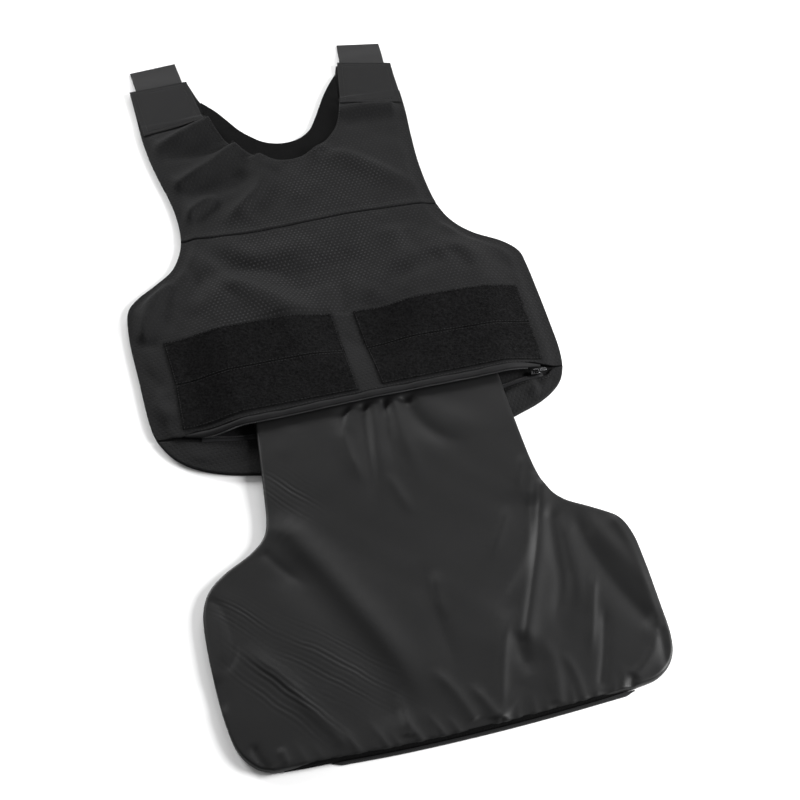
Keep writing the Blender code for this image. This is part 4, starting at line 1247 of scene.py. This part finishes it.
def line_object(paths):
    """Loose polylines in garment millimetres as one mesh object."""
    vertices = []
    edges = []
    for path in paths:
        first = len(vertices)
        vertices += [(px * MM, (py - CENTRE_Y) * MM, pz * MM) for px, py, pz in path]
        edges += [(first + k, first + k + 1) for k in range(len(path) - 1)]
    mesh = bpy.data.meshes.new("line")
    mesh.from_pydata(vertices, edges, [])
    return link_object("line", mesh)


def beads(name, paths, pitch, length, width, height, material):
    """Row of beads along the paths, as one plain mesh."""
    guide = line_object(paths)
    item = grown(name, guide, beads_tree(), pitch=pitch, length=length, width=width,
                 height=height, material=finish(material))
    bpy.data.objects.remove(guide, do_unlink=True)
    return item


def stitches(name, paths):
    """Stitched line along the paths."""
    sizes = bpy.context.scene.vest_sizes
    return beads(name, paths, sizes.stitch_pitch, sizes.stitch_length, sizes.thread_width,
                 sizes.thread_width, "thread_detail")


def on_surface(path, height, lift):
    """Plan path with the z of a height function, lifted a little."""
    return np.column_stack([path, height(path[:, 0], path[:, 1]) + lift])


def grid_step(size):
    return size / MM * 1.0


def cloth_step():
    """Mesh spacing of the carrier's cloth in millimetres."""
    return grid_step(bpy.context.scene.vest_sizes.cloth_grid)


def panel_outline(step=COARSE_STEP):
    """The whole ballistic panel, with the part that the carrier hides."""
    return join(*(curve_through(p, step) for p in (PANEL_LEFT, PANEL_FOOT, PANEL_RIGHT, PANEL_TOP)))


def carrier_outline(step):
    """The back cloth's outline, with the arm hollows and the neck hollow."""
    return join(*(curve_through(p, step) for p in (LEFT_SIDE, HEM_MIDDLE, RIGHT_SIDE, BACK_NECK)))


def panel_bottom(x, y):
    """Underside of the panel: level in the pocket, over the lip, then down to the surface."""
    rise = np.clip((PANEL_RISE[0] - y) / (PANEL_RISE[0] - PANEL_RISE[1]), 0.0, 1.0)
    drop = smoothstep((PANEL_DROP[0] - y) / (PANEL_DROP[0] - PANEL_DROP[1]))
    return (PANEL_INSIDE_Z + (PANEL_LIP_Z - PANEL_INSIDE_Z) * rise) * (1.0 - drop)


def front_bottom(x, y):
    """Underside of the front cloth, draped over the hidden panel, with its folds."""
    panel = panel_outline()
    base = BACK_CLOTH + GAP
    away = distance_to(panel, x, y)
    away = np.where(inside(panel, x, y), 0.0, np.maximum(away - FALL_START, 0.0))
    fall = FALL_LOOPS + (FALL_UPPER - FALL_LOOPS) * smoothstep((y - LOOPS_TOP_Y) / FALL_BLEND)
    covered = panel_bottom(x, np.maximum(y, 0.0)) + PANEL_THICK + COVER - base
    drape = covered * (1.0 - smoothstep(away / fall))
    rim = np.min([distance_to(side, x, y, False) for side in side_paths(COARSE_STEP)], 0)
    fade = smoothstep(rim / RIM_FADE)
    neck = distance_to(curve_through(FRONT_NECK, COARSE_STEP), x, y, False)
    lift = NECK_LIFT * (1.0 - smoothstep((neck - NECK_BAND[0]) / NECK_BAND[1]))
    free = smoothstep(beyond(TABS, x, y) / TAB_FADE)
    rise, size = UNEVEN_FRONT
    folds = fold_heights(FRONT_FOLDS, x, y) + rise * unevenness(x, y, size)
    folds *= (1.0 - LOOPS_FLATTEN * loop_cover(x, y)) * free * smoothstep(rim / FOLD_FADE)
    shape = np.maximum(fade * np.maximum(drape + LOFT * free, lift), lift) + folds
    floor = np.maximum(fade * (drape - 0.5 * COVER), LEAST_LIFT)
    soft = SOFTNESS * np.logaddexp(0.0, (shape - floor) / SOFTNESS)
    return base + floor + soft * np.minimum(1.0, RIM_SOFT + rim / RIM_FADE)


def loop_cover(x, y):
    """One under the loop fields, fading to zero just beyond them."""
    return 1.0 - smoothstep(beyond(LOOPS, x, y) / LOOP_FADE)


def front_top(x, y):
    """Upper side of the front cloth."""
    return front_bottom(x, y) + FRONT_CLOTH


def side_paths(step):
    """The carrier's left and right edges."""
    return curve_through(LEFT_SIDE, step), curve_through(RIGHT_SIDE, step)


def ride_and_replace(item, body, slot, *nodes):
    """Attach a piece to its body and hide the frame's nodes that it stands for; slot is not used.
    """
    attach(item, body)
    if nodes:
        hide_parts(*nodes)


class VEST_OT_stage(bpy.types.Operator):
    """Make the pale floor, the soft light and the camera"""
    bl_idname = "vest.stage"
    bl_label = "Stage"

    def execute(self, context):
        stage = context.scene.vest_stage
        mesh = bpy.data.meshes.new("floor")
        corners = [(-1, -1), (1, -1), (1, 1), (-1, 1)]
        mesh.from_pydata([(FLOOR_HALF * x, FLOOR_HALF * y, FLOOR_Z) for x, y in corners], [],
                         [(0, 1, 2, 3)])
        mesh.materials.append(finish("pale_floor"))
        link_object("floor", mesh)
        self.make_world(context.scene, stage.dome_strength)
        for name, (place, size, power) in LIGHTS.items():
            self.make_light(name, place, size, getattr(stage, power))
        self.make_camera(context.scene, stage)
        context.scene.view_settings.view_transform = "Standard"
        return {"FINISHED"}

    def make_world(self, scene, strength):
        """Even white light from all round."""
        world = bpy.data.worlds.new("soft_dome")
        world.use_nodes = True
        background = world.node_tree.nodes["Background"]
        background.inputs["Color"].default_value = (1.0, 1.0, 1.0, 1.0)
        background.inputs["Strength"].default_value = strength
        scene.world = world

    def make_light(self, name, place, size, power):
        """Large square light that looks at the middle of the vest."""
        light = bpy.data.lights.new(name, "AREA")
        light.shape = "SQUARE"
        light.size = size
        light.energy = power
        item = link_object(name, light)
        item.location = place
        item.rotation_euler = Vector(place).to_track_quat("Z", "Y").to_euler()

    def make_camera(self, scene, stage):
        """Camera at the photograph's angle."""
        turn, rise = stage.camera_turn, stage.camera_height
        back = Vector((math.sin(turn) * math.cos(rise), -math.cos(turn) * math.cos(rise),
                       math.sin(rise)))
        data = bpy.data.cameras.new("view_camera")
        data.sensor_width = SENSOR
        data.lens = LENS
        item = link_object("view_camera", data)
        item.location = Vector((LOOKED_AT_X, -CENTRE_Y * MM, 0.0)) + back * stage.camera_distance
        item.rotation_euler = back.to_track_quat("Z", "Y").to_euler()
        scene.camera = item


class VEST_OT_carrier_back(bpy.types.Operator):
    """Make the rear cloth and the smooth band inside the neckline"""
    bl_idname = "vest.carrier_back"
    bl_label = "Back Cloth and Neck Band"

    def execute(self, context):
        step = cloth_step()
        ring = carrier_outline(step)
        back = cloth_piece("back_cloth", ring, level(0.0), level(BACK_CLOTH),
                           finish("carrier_knit_detail"), BACK_GRID * step, rim=1.1)
        ride_and_replace(back, "carrier", "carrier_knit", "back_shell")
        outer = curve_through([(x, y - BAND_BELOW_EDGE) for x, y in BACK_NECK[1:-1]], step)
        inner = curve_through([(x * BAND_WIDENED, y - BAND_UNDER_FRONT)
                               for x, y in reversed(FRONT_NECK[1:-1])], step)
        band_ring = join(outer, inner)
        rise, size = UNEVEN_BAND
        band = cloth_piece("neck_band", band_ring, level(BACK_CLOTH + GAP),
                           lambda x, y: FACING_CLOTH + rise * unevenness(x, y, size),
                           finish("facing_cloth_detail"), step, rim=0.7)
        ride_and_replace(band, "carrier", "facing_cloth", "neck_facing")
        return {"FINISHED"}


class VEST_OT_carrier_front(bpy.types.Operator):
    """Make the yoke, the front body and the strip below the zip"""
    bl_idname = "vest.carrier_front"
    bl_label = "Front Cloth"

    def execute(self, context):
        step = cloth_step()
        left, right = side_paths(step)
        self.yoke(left, right, step)
        self.body(left, right, step)
        self.hem(left, right, step)
        return {"FINISHED"}

    def yoke(self, left, right, step):
        """Front cloth from the yoke seam up to the shoulders."""
        seam = curve_through(YOKE_SEAM, step)
        up_right = stretch(right, seam[-1, 1], TAB_TOP_OF_YOKE["right"])
        down_left = stretch(left, seam[0, 1], TAB_TOP_OF_YOKE["left"])[::-1]
        neck = curve_through([NECK_CORNERS["right"], *FRONT_NECK, NECK_CORNERS["left"]], step)
        ring = join(seam, up_right, neck, down_left)
        hem = curve_through(YOKE_SEAM, COARSE_STEP)
        rise, half = SEAM_RIDGE

        def thickness(x, y):
            return FRONT_CLOTH + rise * np.exp(-(distance_to(hem, x, y, False) / half) ** 2)

        item = cloth_piece("yoke_cloth", ring, front_bottom, thickness,
                           finish("carrier_knit_detail"), step, rim=0.9)
        ride_and_replace(item, "carrier", "carrier_knit", "yoke")

    def body(self, left, right, step):
        """Front cloth from the yoke seam down to the zip's mouth."""
        seam = curve_through([(x, y - SEAM_GAP) for x, y in YOKE_SEAM], step)[::-1]
        mouth = curve_through(MOUTH, step)
        mouth[:, 1] += np.interp(mouth[:, 0], *np.transpose(MOUTH_ENDS))
        down_left = stretch(left, mouth[0, 1], seam[-1, 1])[::-1]
        up_right = stretch(right, mouth[-1, 1], seam[0, 1])
        mouth = between(mouth, (down_left[-1, 0] + END_MARGIN, up_right[0, 0] - END_MARGIN))
        ring = join(mouth, up_right, seam, down_left)
        item = cloth_piece("body_cloth", ring, front_bottom, level(FRONT_CLOTH),
                           finish("carrier_knit_detail"), step, rim=0.9)
        ride_and_replace(item, "carrier", "carrier_knit", "front_body")

    def hem(self, left, right, step):
        """Front cloth below the zip, with the soft folds at its right end."""
        top = curve_through(HEM_TOP, step)[::-1]
        low_left = left[left[:, 1] < top[-1, 1] - HEM_MARGIN]
        low_right = right[right[:, 1] < top[0, 1] - HEM_MARGIN]
        middle = curve_through(HEM_MIDDLE, step)
        ring = join(low_left, middle, low_right, top)
        item = cloth_piece("hem_cloth", ring, hem_bottom, level(HEM_CLOTH),
                           finish("carrier_knit_detail"), step, rim=0.8)
        ride_and_replace(item, "carrier", "carrier_knit", "hem_panel")


def hem_bottom(x, y):
    """Underside of the strip below the zip."""
    left, right = side_paths(COARSE_STEP)
    edges = [left[left[:, 1] < HEM_SIDE_TOPS[0]], curve_through(HEM_MIDDLE, COARSE_STEP),
             right[right[:, 1] < HEM_SIDE_TOPS[1]]]
    away = np.min([distance_to(edge, x, y, False) for edge in edges], 0)
    fade = smoothstep((away - HEM_FADE[0]) / HEM_FADE[1])
    rise, size = UNEVEN_HEM
    folds = fold_heights(HEM_FOLDS, x, y) + rise * (1.0 + unevenness(x, y, size))
    return BACK_CLOTH + GAP + fade * np.maximum(folds, 0.0)


def hem_top(x, y):
    """Upper side of the strip below the zip."""
    return hem_bottom(x, y) + HEM_CLOTH


class VEST_OT_loop_fields(bpy.types.Operator):
    """Make the four strips of loop pile"""
    bl_idname = "vest.loop_fields"
    bl_label = "Loop Fields"

    def execute(self, context):
        sizes = context.scene.vest_sizes
        for seed, (name, corners) in enumerate(LOOPS.items()):
            ring = straight_edges(corners, cloth_step())
            strip = cloth_piece(
                name + "_cloth", ring, lambda x, y: front_top(x, y) + GAP,
                level(LOOP_BASE), finish("loop_pile_detail"), cloth_step(), rim=0.5, belts=3)
            pile = grown(name + "_pile", strip, pile_tree(),
                         density=sizes.pile_density * 1.0,
                         height=sizes.pile_height, yarn=YARN, seed=seed + 3,
                         material=finish("loop_pile_detail"))
            ride_and_replace(strip, "carrier", "loop_pile", name)
            ride_and_replace(pile, "carrier", "loop_pile")
        return {"FINISHED"}


def tab_bottom(x, y):
    """Underside of a shoulder tab: over the yoke and the strap, down to the back cloth."""
    base = BACK_CLOTH + GAP
    over_strap = (ELASTIC + GAP) * (1.0 - smoothstep(beyond(STRAPS, x, y) / STRAP_FADE))
    end = np.where(x < 0, TAB_TOP_OF_YOKE["left"], TAB_TOP_OF_YOKE["right"])
    over_yoke = front_top(x, y) + 0.5 * GAP - base
    over_yoke = over_yoke * (1.0 - smoothstep((y - end) / YOKE_FADE))
    return base + np.maximum(over_strap, over_yoke)


def tab_thickness(x, y):
    """Thickness of a tab: its top is nearly level, and dips along the edge and the inner seam."""
    rings = [np.array(corners, float) for corners in TABS.values()]
    edge = np.min([distance_to(ring, x, y) for ring in rings], 0)
    seam = np.min([distance_to(inset(ring, TAB_SEAMS[1]), x, y) for ring in rings], 0)
    drop = TAB_EDGE_DROP * (1.0 - smoothstep((edge - TAB_EDGE_FADE[0]) / TAB_EDGE_FADE[1]))
    thick = np.maximum(BACK_CLOTH + GAP + TAB_TOP - drop - tab_bottom(x, y), TAB_LEAST)
    return thick - SEAM_DENT[0] * np.exp(-(seam / SEAM_DENT[1]) ** 2)


def tab_top(x, y):
    """Upper side of a shoulder tab."""
    return tab_bottom(x, y) + tab_thickness(x, y)


class VEST_OT_shoulders(bpy.types.Operator):
    """Make the elastic straps and the tabs sewn over them"""
    bl_idname = "vest.shoulders"
    bl_label = "Shoulder Tabs and Straps"

    def execute(self, context):
        step = cloth_step()
        for side in ("left", "right"):
            root = TABS[side][3][1] + STRAP_FALL_START
            landed = 0.5 * (STRAPS[side][2][1] + STRAPS[side][3][1]) - STRAP_LANDED

            def strap_bottom(x, y, root=root, landed=landed):
                return (BACK_CLOTH + GAP) * (1.0 - smoothstep((y - root) / (landed - root)))

            strap_ring = straight_edges(STRAPS[side], step)
            strap = cloth_piece("strap_" + side, strap_ring, strap_bottom, level(ELASTIC),
                                finish("elastic_detail"), step, rim=0.6)
            ride_and_replace(strap, "carrier", "elastic", "shoulder_strap_" + side)
            tab_ring = straight_edges(TABS[side], TAB_GRID * step)
            tab = cloth_piece("tab_" + side, tab_ring, tab_bottom, tab_thickness,
                              finish("tab_cloth_detail"), TAB_GRID * step, rim=0.5)
            ride_and_replace(tab, "carrier", "tab_cloth", "shoulder_tab_" + side)
        return {"FINISHED"}


def mouth_path(offset, ends):
    """The mouth's line moved across by offset, between two x values."""
    return between(curve_through([(x, y + offset) for x, y in MOUTH], ZIP_STEP), ends)


def mouth_heights(path):
    """Underside of the front cloth along a path near the mouth, above the lower lip."""
    lip = BACK_CLOTH + HEM_CLOTH + 2 * GAP
    return np.maximum(front_bottom(path[:, 0], path[:, 1] + WELT_RISE), lip)


class VEST_OT_zip(bpy.types.Operator):
    """Make the welt, the coils, the tape and the slider"""
    bl_idname = "vest.zip"
    bl_label = "Zip"

    def execute(self, context):
        self.welt()
        self.coils(context.scene.vest_sizes)
        for node in SLIDER_NODES:
            self.metal_piece(node)
        return {"FINISHED"}

    def welt(self):
        """Rounded fold of cloth along the upper edge of the mouth."""
        path = mouth_path(0.0, WELT_ENDS)
        taper = tapered(path, *WELT_TAPER)
        taper *= 1.0 + sum(share * np.sin(path[:, 0] / length) for share, length in WELT_WAVES)
        welt = swept_piece("mouth_welt", path, round_section(half=3.0, height=3.4, flat=1.0),
                           mouth_heights(path), finish("tab_cloth_detail"), taper)
        ride_and_replace(welt, "carrier", "carrier_knit", "zip_welt")

    def coils(self, sizes):
        """Core of each coil with its turns, and the tape that carries the lower one."""
        upper = mouth_path(UPPER_COIL_OFFSET, COIL_ENDS)
        tape = between(curve_through(HEM_TOP, ZIP_STEP), TAPE_ENDS)
        base = BACK_CLOTH + GAP
        strip = swept_piece("lower_tape", tape, TAPE_SECTION, np.full(len(tape), base),
                            finish("zip_nylon_detail"))
        ride_and_replace(strip, "carrier", "zip_nylon", "zip_tape_lower")
        lower = tape[tape[:, 0] < COIL_ENDS[1]]
        lower = lower + LOWER_COIL_OFFSET * left_of(lower)
        rows = {"upper": (upper, mouth_heights(upper)),
                "lower": (lower, np.full(len(lower), base + GAP + TAPE))}
        for name, (path, heights) in rows.items():
            row = swept_piece("coil_core_" + name, path, COIL_CORE, heights,
                              finish("zip_nylon_detail"))
            ride_and_replace(row, "carrier", "zip_nylon", "zip_coil_" + name)
            turns = beads("coil_turns_" + name, [np.column_stack([path, heights + COIL_RISE])],
                          sizes.tooth_pitch, TURN_LENGTH * sizes.tooth_pitch, *COIL_TURN,
                          "zip_nylon_detail")
            ride_and_replace(turns, "carrier", "zip_nylon")

    def metal_piece(self, node):
        """The slider or the pull with its edges rounded."""
        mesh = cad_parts[node].data.copy()
        clean_up(mesh, merge=True)
        item = link_object(node + "_cast", mesh)
        mesh.materials.clear()
        mesh.materials.append(finish("zip_metal_detail"))
        mesh.shade_smooth()
        mesh.set_sharp_from_angle(angle=math.radians(METAL_SMOOTH_ANGLE))
        bevel = item.modifiers.new("soft_edges", "BEVEL")
        bevel.width = BEVEL_WIDTH
        bevel.segments = 2
        bevel.limit_method = "ANGLE"
        bevel.angle_limit = math.radians(BEVEL_ANGLE)
        body = "zip_pull" if node == "zip_pull" else "carrier"
        ride_and_replace(item, body, "zip_metal", node)


def panel_thickness(x, y):
    """Thickness of the pack with the folds of its cover, below the mouth."""
    below = smoothstep((MOUTH_FADE[0] - y) / MOUTH_FADE[1])
    rise, size = UNEVEN_PANEL
    folds = fold_heights(PANEL_FOLDS + pucker_rows(), x, y) + rise * unevenness(x, y, size)
    steep = smoothstep((PANEL_DROP[0] - y) / (PANEL_DROP[0] - PANEL_DROP[1]))
    gentle = smoothstep((COVER_DROP[0] - y) / (COVER_DROP[0] - COVER_DROP[1]))
    lift = PANEL_LIP_Z * (steep - gentle)
    return PANEL_THICK + lift + below * np.maximum(folds, DEEPEST_VALLEY)


class VEST_OT_ballistic_pack(bpy.types.Operator):
    """Make the soft panel in its coated cover, and the sealed strip along its foot"""
    bl_idname = "vest.ballistic_pack"
    bl_label = "Ballistic Panel"

    def execute(self, context):
        step = grid_step(context.scene.vest_sizes.cover_grid)
        pack = cloth_piece("ballistic_pack", panel_outline(step), panel_bottom, panel_thickness,
                           finish("panel_cover_detail"), step, rim=2.6, under_step=COARSE_STEP,
                           squareness=0.5, belts=7)
        ride_and_replace(pack, "carrier", "panel_cover", "ballistic_panel")
        foot = curve_through(PANEL_FOOT, ZIP_STEP)
        path = between(foot, FLANGE_ENDS)
        # Sealed strip along the foot, its lighter colour partly painted light where the panel
        # shades it
        strip = swept_piece("seam_flange", path, FLANGE_SECTION, np.full(len(path), FLANGE_RISE),
                            finish("seam_flange_detail"), tapered(path, *FLANGE_TAPER))
        ride_and_replace(strip, "carrier", "panel_cover", "panel_seam_flange")
        # Near-black binding over the foot of the pack's side wall: partly a real binding, partly
        # painted shade
        path = between(foot, BINDING_ENDS)
        rise, size = UNEVEN_BINDING
        heights = BINDING_RISE + rise * unevenness(path[:, 0], path[:, 1], size)
        binding = swept_piece("foot_binding", path, BINDING_SECTION, heights,
                              finish("foot_binding_detail"), tapered(path, *BINDING_TAPER))
        ride_and_replace(binding, "carrier", "panel_cover")
        return {"FINISHED"}


class VEST_OT_stitching(bpy.types.Operator):
    """Sew the seams: yoke, neckline, tabs, loop fields, welt and hem"""
    bl_idname = "vest.stitching"
    bl_label = "Stitching"

    def execute(self, context):
        over_loops = GAP + LOOP_BASE + THREAD_OVER_LOOPS
        rows = {
            "yoke_stitches": [self.seam(YOKE_SEAM, 6.0, (-126, 130), front_top)],
            "neck_stitches": [self.seam(FRONT_NECK, -4.0, (-300, 300), front_top)],
            "welt_stitches": [self.seam(MOUTH, 4.6, (-160, 170), front_top)],
            "hem_stitches": [self.seam(HEM_TOP, -3.0, (-160, 180), hem_top),
                             self.seam(HEM_TOP, -9.0, (-160, -112), hem_top)],
            "tab_stitches": [self.box(corners, depth, tab_top, THREAD_OVER_TAB)
                             for corners in TABS.values() for depth in TAB_SEAMS],
            "loop_stitches": [self.box(corners, LOOP_SEAM, front_top, over_loops)
                              for corners in LOOPS.values()],
        }
        for name, paths in rows.items():
            ride_and_replace(stitches(name, paths), "carrier", "carrier_knit")
        return {"FINISHED"}

    def seam(self, points, offset, ends, height):
        """Line beside a seam, on a surface."""
        path = curve_through([(x, y + offset) for x, y in points], SEAM_STEP)
        return on_surface(between(path, ends), height, THREAD_LIFT)

    def box(self, corners, depth, height, lift):
        """Closed line inside the edge of a tab or a loop strip, on a surface."""
        ring = straight_edges(inset(np.array(corners, float), depth), SEAM_STEP)
        return on_surface(np.vstack([ring, ring[:1]]), height, lift)


class VEST_PT_tools(bpy.types.Panel):
    """Lists the vest's pieces in the sidebar"""
    bl_idname = "VEST_PT_tools"
    bl_label = "Bulletproof Vest"
    bl_space_type = "VIEW_3D"
    bl_region_type = "UI"
    bl_category = "Vest"

    def draw(self, context):
        column = self.layout.column()
        for operator in PIECE_OPERATORS:
            column.operator(operator.bl_idname)
        for group in (context.scene.vest_sizes, context.scene.vest_colours,
                      context.scene.vest_stage):
            for key in group.bl_rna.properties.keys():
                if key not in ("rna_type", "name"):
                    column.prop(group, key)


PIECE_OPERATORS = (
    VEST_OT_stage, VEST_OT_carrier_back, VEST_OT_carrier_front, VEST_OT_loop_fields,
    VEST_OT_shoulders, VEST_OT_zip, VEST_OT_ballistic_pack, VEST_OT_stitching,
)
GROUPS = {"vest_sizes": VestSizes, "vest_colours": VestColours, "vest_stage": VestStage}


def register():
    """Register the property groups, the operators and the sidebar panel."""
    for key, group in GROUPS.items():
        bpy.utils.register_class(group)
        setattr(bpy.types.Scene, key, bpy.props.PointerProperty(type=group))
    for item in (*PIECE_OPERATORS, VEST_PT_tools):
        bpy.utils.register_class(item)


def unregister():
    """Undo register."""
    for item in reversed((*PIECE_OPERATORS, VEST_PT_tools)):
        bpy.utils.unregister_class(item)
    for key, group in GROUPS.items():
        delattr(bpy.types.Scene, key)
        bpy.utils.unregister_class(group)


def main():
    """Build every piece in order."""
    register()
    bpy.ops.vest.stage()
    bpy.ops.vest.carrier_back()
    bpy.ops.vest.carrier_front()
    bpy.ops.vest.loop_fields()
    bpy.ops.vest.shoulders()
    bpy.ops.vest.zip()
    bpy.ops.vest.ballistic_pack()
    bpy.ops.vest.stitching()


if __name__ == "__main__":
    main()
